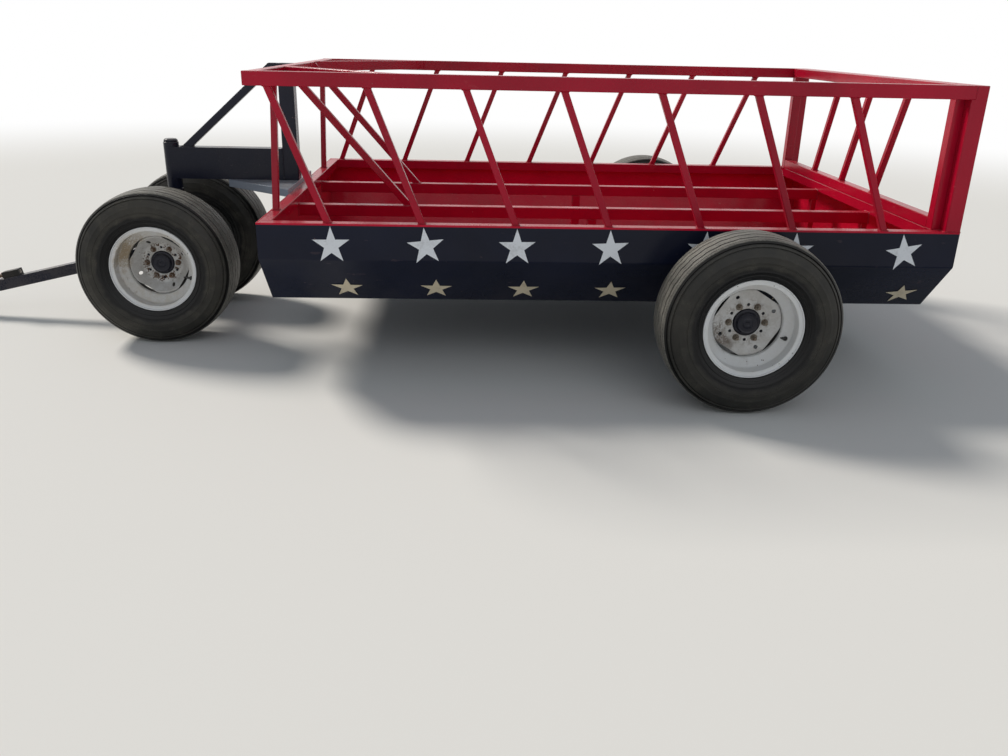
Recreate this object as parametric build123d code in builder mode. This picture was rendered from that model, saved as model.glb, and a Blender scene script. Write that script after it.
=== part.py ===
from build123d import *
from math import asin, atan, atan2, cos, hypot, radians, sin, tan
import os

os.makedirs("parts", exist_ok=True)

# A four-wheeled feeder wagon: a folded-sheet trough with a slanted-bar hay rack, carried by a wide
# rear axle and by a gooseneck on a narrow steered front truck with a drop tongue.
# Millimetres. +X is forward, +Y is the wagon's left, +Z is up, and the wheels stand on Z = 0.

# Trough sheets and rims
trough_length = 2980
trough_width = 2076
rim_height = 724
fold_height = 570
floor_height = 342
side_slope = 211
sheet = 5
rim_tube = 50
rear_rim_width = 99

# Top rails of the rack, and the stays across its front corners
top_rail_width = 50
top_rail_height = 55
rack_height = 1319
rail_overhang = 10
rack_stay = 50
stay_start = 400
stay_run = 550

# Slanted rack bars, measured along the wagon from its front
rack_bar = 28
rack_bar_count = 7
rack_bar_lean = 211
rack_bar_rear_gap = 260
left_bar_start = 82
right_bar_start = 76

# Rear end frame and front end bars
post = 50
post_flat = 16
frame_tube = 50
end_bar_count = 3
end_bar_pitch = 403
end_bar_lean = 205
end_bar_shift = -17
front_bar_inset = 362
front_bar_back = 12
front_bar_lean = 124
front_bar_shift = 8

# Bale runners, their legs and braces
runner_width = 50
runner_depth = 54
runner_drop = 40
runner_offset = 350
middle_leg = 44
end_leg = 30
brace_bar = 32
brace_run = 535

# Gooseneck
neck_tube = 76
beam_depth = 158
beam_top = 905
neck_brace = 36
neck_brace_foot = 565
neck_brace_head = 96
pivot_ahead = 648
pivot_tube_radius = 38
pivot_tube_wall = 8
pivot_tube_bottom = 695
pivot_tube_top = 928
gusset_length = 285
gusset_half_width = 330
gusset_plate = 8
gusset_drop = 38

# Steering post
thrust_gap = 0.3
running_gap = 0.05
cap_radius = 35
cap_height = 15

# Axles
tyre_radius = 375
rear_axle_back = 2042
rear_track = 2456
front_track = 732
rear_beam = 80
front_beam = 76
saddle_height = 14
saddle_length = 120
saddle_inset = 140
riser_width = 80
riser_depth = 70
spindle_radius = 26
spindle_bare = 22
spindle_end_gap = 5

# Wheels
tyre_width = 270
tread_half = 100
shoulder_radius = 368
bulge_radius = 292
bead_gap = 0.3
tyre_lip = 4
flange_radius = 208
bead_radius = 190
drop_radius = 152
rim_width = 222
flange_width = 12
bead_width = 46
drop_width = 50
rim_wall = 5
disc_wall = 8
disc_crown_radius = 138
disc_crown = 14
disc_skirt = 20
disc_flat_radius = 100
disc_bore_radius = 58.8
disc_edge_flat = 125
disc_edge_turn = 58
front_disc_inset = 46
rear_disc_inset = 0
stud_circle_radius = 76.2
stud_count = 6
stud_radius = 7
stud_gap = 0.3
nut_radius = 11
nut_height = 16
vent_radius = 7
outer_vent_radius = 8.5
outer_vent_circle = 118
outer_vent_count = 4
outer_vent_turn = 25
hub_radius = 56
hub_flange_radius = 92
hub_flange = 12
hub_back = 66
hub_front = 12
dust_cap_radius = 46
dust_cap_height = 14
dust_cap_round = 6

# Tongue and hitch
hinge_ahead = 96
tongue_tube = 58
tongue_length = 1440
tongue_heel = 25
hinge_pin_radius = 12
pin_clearance = 0.05
pin_stickout = 12
ear_thickness = 12
ear_gap = 2
ear_radius = 30
hitch_plate = 12
hitch_plate_width = 70
hitch_plate_length = 190
hitch_throat = 95
hitch_bore_radius = 13
hitch_setback = 34
keeper_start = 788
keeper_length = 92
keeper_width = 46
keeper_height = 34
hitch_pin_radius = 11
hitch_pin_length = 200
hitch_pin_head_radius = 16
hitch_pin_head = 10

# Sizes worked out from the ones above
half_width = trough_width / 2
half_floor = half_width - side_slope
fold_turn = atan2(side_slope, fold_height - floor_height)
inner_fold_height = fold_height + sheet * tan(fold_turn / 2)
inner_half = half_width - sheet
inner_half_floor = half_floor - sheet / cos(fold_turn)
floor_top = floor_height + sheet
floor_top_half = inner_half_floor + sheet * tan(fold_turn)
top_rail_low = rack_height - top_rail_height
rack_run = trough_length - post - post_flat - rack_bar_rear_gap - rack_bar_lean - left_bar_start
rack_bar_pitch = rack_run / (rack_bar_count - 1)
runner_height = rim_height - runner_drop
runner_low = runner_height - runner_depth
beam_low = beam_top - beam_depth
axle_height = tyre_radius
hitch_half_height = tongue_tube / 2 + hitch_plate

# The tongue droops until the front lower corner of its hitch meets the ground.
droop = asin(axle_height / hypot(tongue_length, hitch_half_height))
droop -= atan(hitch_half_height / tongue_length)
tongue_run = tongue_length * cos(droop) + hitch_half_height * sin(droop)

# The origin lies on the ground, halfway between the hitch's tip and the rear sheet.
front_x = (trough_length - pivot_ahead - hinge_ahead - tongue_run) / 2
rear_x = front_x - trough_length
pivot_x = front_x + pivot_ahead
hinge_x = pivot_x + hinge_ahead
rear_axle_x = front_x - rear_axle_back
post_x = rear_x + post
frame_x = rear_x + sheet + rear_rim_width
tongue_frame = Plane(
    origin=(hinge_x, 0, axle_height),
    x_dir=(cos(droop), 0, -sin(droop)),
    z_dir=(sin(droop), 0, cos(droop)),
)


def save(piece, name):
    """Label a finished sub-part and write it under its node's name."""
    piece.part.label = name
    export_step(piece.part, f"parts/{name}.step")


def across(x):
    """Plane across the wagon at x: local x is +Y, local y is +Z, and it faces forward."""
    return Plane(origin=(x, 0, 0), x_dir=(0, 1, 0), z_dir=(1, 0, 0))


def along(y):
    """Plane along the wagon at y: local x is +X, local y is +Z, and it faces right."""
    return Plane(origin=(0, y, 0), x_dir=(1, 0, 0), z_dir=(0, -1, 0))


def slanted(low, high, foot, head, width):
    """Corners of a slanted flat-ended bar, from its foot's middle to its head's middle."""
    half = width / cos(atan((head - foot) / (high - low))) / 2
    return (foot - half, low), (foot + half, low), (head + half, high), (head - half, high)


# Side panels: one folded sheet each, upright at the rim and sloping inwards below
with BuildPart() as panels:
    for side in (1, -1):
        with BuildSketch(across(rear_x)):
            with BuildLine():
                Polyline(
                    (side * half_width, rim_height),
                    (side * half_width, fold_height),
                    (side * half_floor, floor_height),
                    (side * inner_half_floor, floor_height),
                    (side * inner_half, inner_fold_height),
                    (side * inner_half, rim_height),
                    close=True,
                )
            make_face()
        extrude(amount=trough_length)
save(panels, "side_panels")

# Floor sheet between the side panels
with BuildPart() as floor_sheet:
    with BuildSketch(across(rear_x)):
        with BuildLine():
            Polyline(
                (-inner_half_floor, floor_height),
                (inner_half_floor, floor_height),
                (floor_top_half, floor_top),
                (-floor_top_half, floor_top),
                close=True,
            )
        make_face()
    extrude(amount=trough_length)
save(floor_sheet, "floor_sheet")

# End walls, each inside the fold of the side panels
with BuildPart() as end_walls:
    for wall_x in (front_x - sheet, rear_x):
        with BuildSketch(across(wall_x)):
            with BuildLine():
                Polyline(
                    (-floor_top_half, floor_top),
                    (floor_top_half, floor_top),
                    (inner_half, inner_fold_height),
                    (inner_half, rim_height),
                    (-inner_half, rim_height),
                    (-inner_half, inner_fold_height),
                    close=True,
                )
            make_face()
        extrude(amount=sheet)
save(end_walls, "end_walls")

# Rim tubes inside the top edge of the sheets
rim_y = inner_half - rim_tube / 2
rim_front = front_x - sheet
runner_front = rim_front - rim_tube
with BuildPart() as side_rims:
    with BuildSketch(Plane.XY.offset(rim_height - rim_tube)):
        with Locations(((rear_x + front_x) / 2, rim_y), ((rear_x + front_x) / 2, -rim_y)):
            Rectangle(trough_length - 2 * sheet, rim_tube)
    extrude(amount=rim_tube)
save(side_rims, "side_rim_tubes")

with BuildPart() as end_rims:
    with BuildSketch(Plane.XY.offset(rim_height - rim_tube)):
        with Locations((rim_front - rim_tube / 2, 0)):
            Rectangle(rim_tube, 2 * rim_y - rim_tube)
        with Locations((frame_x - rear_rim_width / 2, 0)):
            Rectangle(rear_rim_width, 2 * rim_y - rim_tube)
    extrude(amount=rim_tube)
save(end_rims, "end_rim_tubes")

# Top rails of the rack, the side ones reaching past the front one and back to the corner posts
bar_y = half_width - top_rail_width / 2
side_rail_front = front_x + rail_overhang
with BuildPart() as side_rails:
    with BuildSketch(Plane.XY.offset(top_rail_low)):
        with Locations(((post_x + side_rail_front) / 2, bar_y), ((post_x + side_rail_front) / 2, -bar_y)):
            Rectangle(side_rail_front - post_x, top_rail_width)
    extrude(amount=top_rail_height)
save(side_rails, "side_top_rails")

with BuildPart() as end_rails:
    with BuildSketch(Plane.XY.offset(top_rail_low)):
        with Locations((front_x - top_rail_width / 2, 0)):
            Rectangle(top_rail_width, 2 * bar_y - top_rail_width)
        with Locations((rear_x + post / 2, 0)):
            Rectangle(post, 2 * (half_width - post))
    extrude(amount=top_rail_height)
save(end_rails, "end_top_rails")

# Stays across the front corners, flush with the tops of the rails
stay_front = front_x - top_rail_width
stay_side = half_width - top_rail_width
stay_reach = stay_side - stay_start
stay_span = hypot(stay_run, stay_reach)
with BuildPart() as stays:
    for side in (1, -1):
        with BuildSketch(Plane.XY.offset(rack_height - rack_stay)):
            with BuildLine():
                Polyline(
                    (stay_front, side * stay_start),
                    (stay_front - stay_run, side * stay_side),
                    (stay_front - stay_run + rack_stay * stay_span / stay_reach, side * stay_side),
                    (stay_front, side * (stay_start + rack_stay * stay_span / stay_run)),
                    close=True,
                )
            make_face()
        extrude(amount=rack_stay)
save(stays, "rack_stays")

# Slanted side bars between rim and top rail; the two sides lean opposite ways
for side, name, start, foot_back, head_back in (
    (1, "rack_bars_left", left_bar_start, rack_bar_lean, 0),
    (-1, "rack_bars_right", right_bar_start, 0, rack_bar_lean),
):
    with BuildPart() as rack_bars:
        for i in range(rack_bar_count):
            bar_x = front_x - start - i * rack_bar_pitch
            ends = (rim_height, top_rail_low, bar_x - foot_back, bar_x - head_back)
            with BuildSketch(along(side * bar_y)):
                with BuildLine():
                    Polyline(*slanted(*ends, rack_bar), close=True)
                make_face()
            extrude(amount=rack_bar / 2, both=True)
    save(rack_bars, name)

# Rear corner posts, each with a flat bar down its front
post_mid_x = rear_x + post / 2
post_y = half_width - post / 2
flat_x = post_x + post_flat / 2
with BuildPart() as corner_posts:
    with BuildSketch(Plane.XY.offset(rim_height)):
        with Locations((post_mid_x, post_y), (post_mid_x, -post_y)):
            Rectangle(post, post)
    extrude(amount=rack_height - rim_height)
    with BuildSketch(Plane.XY.offset(rim_height)):
        with Locations((flat_x, post_y), (flat_x, -post_y)):
            Rectangle(post_flat, post)
    extrude(amount=top_rail_low - rim_height)
save(corner_posts, "corner_posts")

# Rear end frame inside the corner posts: two posts, then a sill and a head between them
frame_y = half_width - post - frame_tube / 2
frame_mid_x = frame_x - frame_tube / 2
with BuildPart() as frame_posts:
    with BuildSketch(Plane.XY.offset(rim_height)):
        with Locations((frame_mid_x, frame_y), (frame_mid_x, -frame_y)):
            Rectangle(frame_tube, frame_tube)
    extrude(amount=rack_height - rim_height)
save(frame_posts, "end_frame_posts")

frame_sill_top = rim_height + frame_tube
frame_head_low = rack_height - frame_tube
with BuildPart() as frame_rails:
    with BuildSketch(across(frame_x - frame_tube)):
        with Locations((0, rim_height + frame_tube / 2), (0, rack_height - frame_tube / 2)):
            Rectangle(2 * frame_y - frame_tube, frame_tube)
    extrude(amount=frame_tube)
save(frame_rails, "end_frame_rails")

with BuildPart() as end_bars:
    for i in range(end_bar_count):
        middle = (i - (end_bar_count - 1) / 2) * end_bar_pitch - end_bar_shift
        ends = (frame_sill_top, frame_head_low, middle - end_bar_lean / 2, middle + end_bar_lean / 2)
        with BuildSketch(across(frame_mid_x)):
            with BuildLine():
                Polyline(*slanted(*ends, rack_bar), close=True)
            make_face()
        extrude(amount=rack_bar / 2, both=True)
save(end_bars, "end_bars")

# Two bars on the front rim, leaning the other way across
front_bar_x = front_x - front_bar_back - rack_bar / 2
front_bar_y = half_width - front_bar_inset
with BuildPart() as front_bars:
    for middle in (front_bar_shift + front_bar_y, front_bar_shift - front_bar_y):
        ends = (rim_height, top_rail_low, middle + front_bar_lean / 2, middle - front_bar_lean / 2)
        with BuildSketch(across(front_bar_x)):
            with BuildLine():
                Polyline(*slanted(*ends, rack_bar), close=True)
            make_face()
        extrude(amount=rack_bar / 2, both=True)
save(front_bars, "front_bars")

# Bale runners from rim to rim, on legs
runner_mid_x = (frame_x + runner_front) / 2
with BuildPart() as runners:
    with BuildSketch(Plane.XY.offset(runner_low)):
        with Locations((runner_mid_x, runner_offset), (runner_mid_x, -runner_offset)):
            Rectangle(runner_front - frame_x, runner_width)
    extrude(amount=runner_depth)
save(runners, "bale_runners")

with BuildPart() as legs:
    for leg_x, leg in (((front_x + rear_x) / 2, middle_leg), (frame_x + end_leg / 2, end_leg)):
        with BuildSketch(Plane.XY.offset(floor_top)):
            with Locations((leg_x, runner_offset), (leg_x, -runner_offset)):
                Rectangle(leg, middle_leg)
        extrude(amount=runner_low - floor_top)
save(legs, "runner_legs")

# Two long braces from the front top rail down to the runners
brace_head_x = front_x - top_rail_width
brace_foot_x = brace_head_x - brace_run
brace_head_z = rack_height - top_rail_height / 2
brace_angle = atan2(brace_head_z - runner_height, brace_run)
brace_half_run = brace_bar / sin(brace_angle) / 2
brace_half_rise = brace_bar / cos(brace_angle) / 2
with BuildPart() as braces:
    for side in (1, -1):
        with BuildSketch(along(side * runner_offset)):
            with BuildLine():
                Polyline(
                    (brace_foot_x - brace_half_run, runner_height),
                    (brace_foot_x + brace_half_run, runner_height),
                    (brace_head_x, brace_head_z - brace_half_rise),
                    (brace_head_x, brace_head_z + brace_half_rise),
                    close=True,
                )
            make_face()
        extrude(amount=brace_bar / 2, both=True)
save(braces, "rack_braces")

# Gooseneck: upright against the front wall, beam to the pivot tube, and a brace over them
neck_x = front_x + neck_tube
with BuildPart() as upright:
    with BuildSketch(Plane.XY.offset(beam_low)):
        with Locations((front_x + neck_tube / 2, 0)):
            Rectangle(neck_tube, neck_tube)
    extrude(amount=rack_height - beam_low)
save(upright, "neck_upright")

with BuildPart() as beam:
    with BuildSketch(Plane.XY.offset(beam_low)):
        with Locations(((neck_x + pivot_x) / 2, 0)):
            Rectangle(pivot_x - neck_x, neck_tube)
        with Locations((pivot_x, 0)):
            Circle(pivot_tube_radius, mode=Mode.SUBTRACT)
    extrude(amount=beam_depth)
save(beam, "neck_beam")

with BuildPart() as pivot_tube:
    with BuildSketch(Plane.XY.offset(pivot_tube_bottom)):
        with Locations((pivot_x, 0)):
            Circle(pivot_tube_radius)
            Circle(pivot_tube_radius - pivot_tube_wall, mode=Mode.SUBTRACT)
    extrude(amount=pivot_tube_top - pivot_tube_bottom)
save(pivot_tube, "pivot_tube")

neck_rise = (rack_height - beam_top) / (neck_brace_foot - neck_brace_head)
neck_half_run = neck_brace / sin(atan(neck_rise)) / 2
with BuildPart() as neck_braces:
    with BuildSketch(along(0)):
        with BuildLine():
            Polyline(
                (front_x + neck_brace_foot + neck_half_run, beam_top),
                (front_x + neck_brace_foot - neck_half_run, beam_top),
                (neck_x, beam_top + (neck_brace_foot - neck_half_run - neck_tube) * neck_rise),
                (neck_x, rack_height),
                (front_x + neck_brace_head + neck_half_run, rack_height),
                close=True,
            )
        make_face()
    extrude(amount=neck_brace / 2, both=True)
save(neck_braces, "neck_brace")

# Gusset under the neck: a tapered plate with turned-down edges
gusset_top = beam_low
gusset_tip = neck_x + gusset_length
with BuildPart() as gusset:
    with BuildSketch(Plane.XY.offset(gusset_top - gusset_drop)):
        with BuildLine():
            Polyline(
                (front_x, -gusset_half_width),
                (front_x, gusset_half_width),
                (gusset_tip, neck_tube / 2),
                (gusset_tip, -neck_tube / 2),
                close=True,
            )
        make_face()
    extrude(amount=gusset_drop)
    underside = gusset.faces().sort_by(Axis.Z)[0]
    offset(amount=-gusset_plate, openings=underside)
save(gusset, "neck_gusset")

# Front truck: a post that turns in the pivot tube, its cap, and the axle beam
post_radius = pivot_tube_radius - pivot_tube_wall - running_gap
front_beam_top = axle_height + front_beam / 2
with BuildPart() as kingpin:
    with BuildSketch(Plane.XY.offset(front_beam_top)):
        with Locations((pivot_x, 0)):
            Circle(pivot_tube_radius)
    extrude(amount=pivot_tube_bottom - thrust_gap - front_beam_top)
    with BuildSketch(Plane.XY.offset(pivot_tube_bottom - thrust_gap)):
        with Locations((pivot_x, 0)):
            Circle(post_radius)
    extrude(amount=pivot_tube_top - pivot_tube_bottom + 2 * thrust_gap)
save(kingpin, "kingpin")

with BuildPart() as pivot_cap:
    with BuildSketch(Plane.XY.offset(pivot_tube_top + thrust_gap)):
        with Locations((pivot_x, 0)):
            Circle(cap_radius)
    extrude(amount=cap_height)
    chamfer(pivot_cap.faces().sort_by(Axis.Z)[-1].edges(), length=cap_height / 2)
save(pivot_cap, "pivot_cap")

bare_end = hub_back + spindle_bare
front_beam_half = front_track / 2 - front_disc_inset - bare_end
with BuildPart() as front_axle:
    with BuildSketch(Plane.XY.offset(axle_height - front_beam / 2)):
        with Locations((pivot_x, 0)):
            Rectangle(front_beam, 2 * front_beam_half)
    extrude(amount=front_beam)
save(front_axle, "front_axle_beam")

# Rear axle: a beam under the floor with a riser at each end
rear_beam_top = floor_height - saddle_height
riser_outer = rear_track / 2 - rear_disc_inset - bare_end
riser_inner = riser_outer - riser_depth
with BuildPart() as rear_axle:
    with BuildSketch(Plane.XY.offset(rear_beam_top - rear_beam)):
        with Locations((rear_axle_x, 0)):
            Rectangle(rear_beam, 2 * riser_inner)
    extrude(amount=rear_beam)
save(rear_axle, "rear_axle_beam")

with BuildPart() as risers:
    with BuildSketch(Plane.XY.offset(rear_beam_top - rear_beam)):
        riser_y = (riser_outer + riser_inner) / 2
        with Locations((rear_axle_x, riser_y), (rear_axle_x, -riser_y)):
            Rectangle(riser_width, riser_depth)
    extrude(amount=axle_height + riser_width / 2 - rear_beam_top + rear_beam)
save(risers, "rear_axle_risers")

with BuildPart() as saddles:
    with BuildSketch(Plane.XY.offset(rear_beam_top)):
        saddle_y = half_floor - saddle_inset
        with Locations((rear_axle_x, saddle_y), (rear_axle_x, -saddle_y)):
            Rectangle(saddle_length, saddle_length)
    extrude(amount=saddle_height)
save(saddles, "axle_saddles")

# Spindles: each axle's pair, from the beam or riser into the hubs
for name, axle_x, root in (
    ("front_spindles", pivot_x, front_beam_half),
    ("rear_spindles", rear_axle_x, riser_outer),
):
    with BuildPart() as spindles:
        for side in (1, -1):
            start = side * root
            with BuildSketch(Plane(origin=(axle_x, start, axle_height), z_dir=(0, side, 0))):
                Circle(spindle_radius)
            extrude(amount=bare_end + hub_front - spindle_end_gap)
    save(spindles, name)

# Wheels: tyre, pressed rim with its disc, and hub. Profile points are radius and distance outwards.
tyre_half = tyre_width / 2
rim_half = rim_width / 2
flange_in = rim_half - flange_width
bead_in = flange_in - bead_width
drop_in = drop_width / 2
lip_radius = flange_radius + tyre_lip
inner_bead = bead_radius - rim_wall
inner_drop = drop_radius - rim_wall
disc_face = disc_wall / 2


def wheel_face(side, axle_x, track):
    """Plane at a wheel's centre: it faces outwards, with local x level."""
    return Plane(origin=(axle_x, side * track / 2, axle_height), x_dir=(side, 0, 0), z_dir=(0, side, 0))


def turned(face):
    """Plane through a wheel's axis: local x is the radius and local y is outwards."""
    return Plane(origin=face.origin, x_dir=face.x_dir, z_dir=-face.y_dir)


for corner, side, axle_x, track, inset in (
    ("front_left", 1, pivot_x, front_track, front_disc_inset),
    ("front_right", -1, pivot_x, front_track, front_disc_inset),
    ("rear_left", 1, rear_axle_x, rear_track, rear_disc_inset),
    ("rear_right", -1, rear_axle_x, rear_track, rear_disc_inset),
):
    face = wheel_face(side, axle_x, track)
    hub_face = face.offset(-inset)
    spin = Axis(face.origin, face.z_dir)

    with BuildPart() as tyre:
        with BuildSketch(turned(face)):
            with BuildLine():
                tread = ThreePointArc(
                    (shoulder_radius, -tread_half), (tyre_radius, 0), (shoulder_radius, tread_half)
                )
                wall_out = ThreePointArc(tread @ 1, (bulge_radius, tyre_half), (lip_radius, rim_half))
                seat = Polyline(
                    wall_out @ 1,
                    (lip_radius, flange_in),
                    (bead_radius + bead_gap, flange_in),
                    (bead_radius + bead_gap, -flange_in),
                    (lip_radius, -flange_in),
                    (lip_radius, -rim_half),
                )
                ThreePointArc(seat @ 1, (bulge_radius, -tyre_half), tread @ 0)
            make_face()
        revolve(axis=spin)
    save(tyre, f"tyre_{corner}")

    with BuildPart() as wheel:
        with BuildSketch(turned(face)):
            with BuildLine():
                Polyline(
                    (flange_radius, rim_half),
                    (flange_radius, flange_in),
                    (bead_radius, flange_in),
                    (bead_radius, bead_in),
                    (drop_radius, drop_in),
                    (drop_radius, -drop_in),
                    (bead_radius, -bead_in),
                    (bead_radius, -flange_in),
                    (flange_radius, -flange_in),
                    (flange_radius, -rim_half),
                    (flange_radius - rim_wall, -rim_half),
                    (flange_radius - rim_wall, -flange_in - rim_wall),
                    (inner_bead, -flange_in - rim_wall),
                    (inner_bead, -bead_in),
                    (inner_drop, -drop_in),
                    (inner_drop, drop_in),
                    (inner_bead, bead_in),
                    (inner_bead, flange_in + rim_wall),
                    (flange_radius - rim_wall, flange_in + rim_wall),
                    (flange_radius - rim_wall, rim_half),
                    close=True,
                )
            make_face()
            with BuildLine():
                Polyline(
                    (disc_bore_radius, disc_face - inset),
                    (disc_flat_radius, disc_face - inset),
                    (disc_crown_radius, disc_crown),
                    (inner_drop, disc_crown - rim_wall),
                    (inner_drop, disc_crown - disc_skirt),
                    (inner_drop - disc_wall, disc_crown - disc_skirt),
                    (disc_crown_radius, disc_crown - disc_wall),
                    (disc_flat_radius + disc_face, -disc_face - inset),
                    (disc_bore_radius, -disc_face - inset),
                    close=True,
                )
            make_face()
        revolve(axis=spin)
        with BuildSketch(face.offset(disc_crown)):
            Circle(inner_drop)
            Rectangle(2 * disc_edge_flat, 2 * disc_edge_flat, rotation=disc_edge_turn, mode=Mode.SUBTRACT)
        extrude(amount=-disc_skirt - inset, mode=Mode.SUBTRACT)
        with BuildSketch(face.offset(disc_crown)):
            with PolarLocations(stud_circle_radius, stud_count, start_angle=180 / stud_count):
                Circle(vent_radius)
            with PolarLocations(stud_circle_radius, stud_count):
                Circle(stud_radius + stud_gap)
            with PolarLocations(outer_vent_circle, outer_vent_count, start_angle=outer_vent_turn):
                Circle(outer_vent_radius)
        extrude(amount=-disc_crown - inset - disc_wall, mode=Mode.SUBTRACT)
    save(wheel, f"wheel_{corner}")

    with BuildPart() as hub:
        with BuildSketch(turned(hub_face)):
            with BuildLine():
                cap_side = hub_front + dust_cap_height - dust_cap_round
                hub_side = Polyline(
                    (0, hub_front),
                    (spindle_radius + running_gap, hub_front),
                    (spindle_radius + running_gap, -hub_back),
                    (hub_radius, -hub_back),
                    (hub_radius, -disc_face - hub_flange),
                    (hub_flange_radius, -disc_face - hub_flange),
                    (hub_flange_radius, -disc_face),
                    (hub_radius, -disc_face),
                    (hub_radius, hub_front),
                    (dust_cap_radius, hub_front),
                    (dust_cap_radius, cap_side),
                )
                cap_round = ThreePointArc(
                    hub_side @ 1,
                    (
                        dust_cap_radius - dust_cap_round * (1 - cos(radians(45))),
                        cap_side + dust_cap_round * sin(radians(45)),
                    ),
                    (dust_cap_radius - dust_cap_round, hub_front + dust_cap_height),
                )
                Polyline(cap_round @ 1, (0, hub_front + dust_cap_height), (0, hub_front))
            make_face()
        revolve(axis=spin)
        with BuildSketch(hub_face.offset(-disc_face)):
            with PolarLocations(stud_circle_radius, stud_count):
                Circle(stud_radius)
        extrude(amount=disc_wall)
        with BuildSketch(hub_face.offset(disc_face)):
            with PolarLocations(stud_circle_radius, stud_count):
                RegularPolygon(nut_radius, 6)
        extrude(amount=nut_height)
    save(hub, f"hub_{corner}")

# Tongue hinge: two ears on the front beam and the pin through them
ear_y = tongue_tube / 2 + ear_gap + ear_thickness / 2
with BuildPart() as ears:
    for side in (1, -1):
        with BuildSketch(along(side * ear_y)):
            with Locations((hinge_x, axle_height)):
                Circle(ear_radius)
            with Locations(((hinge_x + pivot_x + front_beam / 2) / 2, axle_height)):
                Rectangle(hinge_x - pivot_x - front_beam / 2, 2 * ear_radius)
            with Locations((hinge_x, axle_height)):
                Circle(hinge_pin_radius, mode=Mode.SUBTRACT)
        extrude(amount=ear_thickness / 2, both=True)
save(ears, "tongue_ears")

pin_half = ear_y + ear_thickness / 2 + pin_stickout
with BuildPart() as hinge_pin:
    with BuildSketch(along(0)):
        with Locations((hinge_x, axle_height)):
            Circle(hinge_pin_radius)
    extrude(amount=pin_half, both=True)
save(hinge_pin, "hinge_pin")

# Tongue: a square tube from the hinge, with a hitch plate above and below its end
tongue_side = Plane(origin=tongue_frame.origin, x_dir=tongue_frame.x_dir, z_dir=-tongue_frame.y_dir)
tongue_end = tongue_length - hitch_throat
with BuildPart() as tongue:
    with BuildSketch(tongue_side):
        with Locations(((tongue_end - tongue_heel) / 2, 0)):
            Rectangle(tongue_end + tongue_heel, tongue_tube)
        Circle(hinge_pin_radius + pin_clearance, mode=Mode.SUBTRACT)
    extrude(amount=tongue_tube / 2, both=True)
save(tongue, "tongue_tube")

with BuildPart() as hitch:
    for height in (tongue_tube / 2, -tongue_tube / 2 - hitch_plate):
        with BuildSketch(tongue_frame.offset(height)):
            with Locations((tongue_length - hitch_plate_length / 2, 0)):
                Rectangle(hitch_plate_length, hitch_plate_width)
            with Locations((tongue_length - hitch_setback, 0)):
                Circle(hitch_bore_radius, mode=Mode.SUBTRACT)
        extrude(amount=hitch_plate)
save(hitch, "hitch_plates")

# Spare hitch pin, carried in a keeper on top of the tongue
pin_rise = tongue_tube / 2 + keeper_height / 2
with BuildPart() as keeper:
    with BuildSketch(tongue_frame.offset(tongue_tube / 2)):
        with Locations((keeper_start + keeper_length / 2, 0)):
            Rectangle(keeper_length, keeper_width)
    extrude(amount=keeper_height)
    pin_start = tongue_frame.from_local_coords(Vector(keeper_start, 0, pin_rise))
    with BuildSketch(Plane(origin=pin_start, z_dir=tongue_frame.x_dir)):
        Circle(hitch_pin_radius + pin_clearance)
    extrude(amount=keeper_length, mode=Mode.SUBTRACT)
save(keeper, "pin_keeper")

with BuildPart() as hitch_pin:
    with BuildSketch(Plane(origin=pin_start, z_dir=tongue_frame.x_dir)):
        Circle(hitch_pin_radius)
    extrude(amount=hitch_pin_length)
    with BuildSketch(Plane(origin=pin_start, z_dir=tongue_frame.x_dir).offset(keeper_length)):
        Circle(hitch_pin_head_radius)
    extrude(amount=hitch_pin_head)
save(hitch_pin, "hitch_pin")
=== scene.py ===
"""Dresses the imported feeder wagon: paint, stars, tyres, wheels, welds, studio and camera."""

import logging
import math
from dataclasses import dataclass
from enum import Enum
from typing import Callable, Sequence

import bmesh
import bpy
import numpy as np
from bmesh.types import BMesh, BMFace
from bpy.types import Material, Mesh, NodeSocket, NodeTree, Object
from mathutils import Matrix, Vector


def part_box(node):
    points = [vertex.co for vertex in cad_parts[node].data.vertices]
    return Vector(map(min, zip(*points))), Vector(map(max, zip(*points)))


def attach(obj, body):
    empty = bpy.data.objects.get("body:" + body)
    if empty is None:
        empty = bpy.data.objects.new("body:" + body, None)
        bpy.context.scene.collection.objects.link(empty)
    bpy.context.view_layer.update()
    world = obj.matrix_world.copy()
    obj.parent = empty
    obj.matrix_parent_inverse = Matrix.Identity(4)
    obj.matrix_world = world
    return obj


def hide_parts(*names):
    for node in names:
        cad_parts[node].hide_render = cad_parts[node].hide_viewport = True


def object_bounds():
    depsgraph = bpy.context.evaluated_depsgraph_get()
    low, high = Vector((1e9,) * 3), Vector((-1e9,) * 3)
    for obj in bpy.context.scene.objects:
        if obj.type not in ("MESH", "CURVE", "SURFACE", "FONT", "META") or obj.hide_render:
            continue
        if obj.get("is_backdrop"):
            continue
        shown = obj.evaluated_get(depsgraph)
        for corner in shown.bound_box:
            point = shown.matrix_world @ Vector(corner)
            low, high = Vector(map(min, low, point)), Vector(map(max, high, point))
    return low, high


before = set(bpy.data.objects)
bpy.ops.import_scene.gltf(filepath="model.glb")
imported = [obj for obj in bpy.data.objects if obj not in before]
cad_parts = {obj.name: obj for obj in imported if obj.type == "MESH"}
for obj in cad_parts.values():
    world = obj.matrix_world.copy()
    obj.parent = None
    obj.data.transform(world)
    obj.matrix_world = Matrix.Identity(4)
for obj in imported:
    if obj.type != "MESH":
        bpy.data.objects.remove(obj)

LOG = logging.getLogger("feeder_wagon")
CAD_BOX = [list(corner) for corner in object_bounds()]

Colour = tuple[float, float, float]
Point = tuple[float, float, float]
Pair = tuple[float, float]
Seam = tuple[str, int, float]

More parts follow.
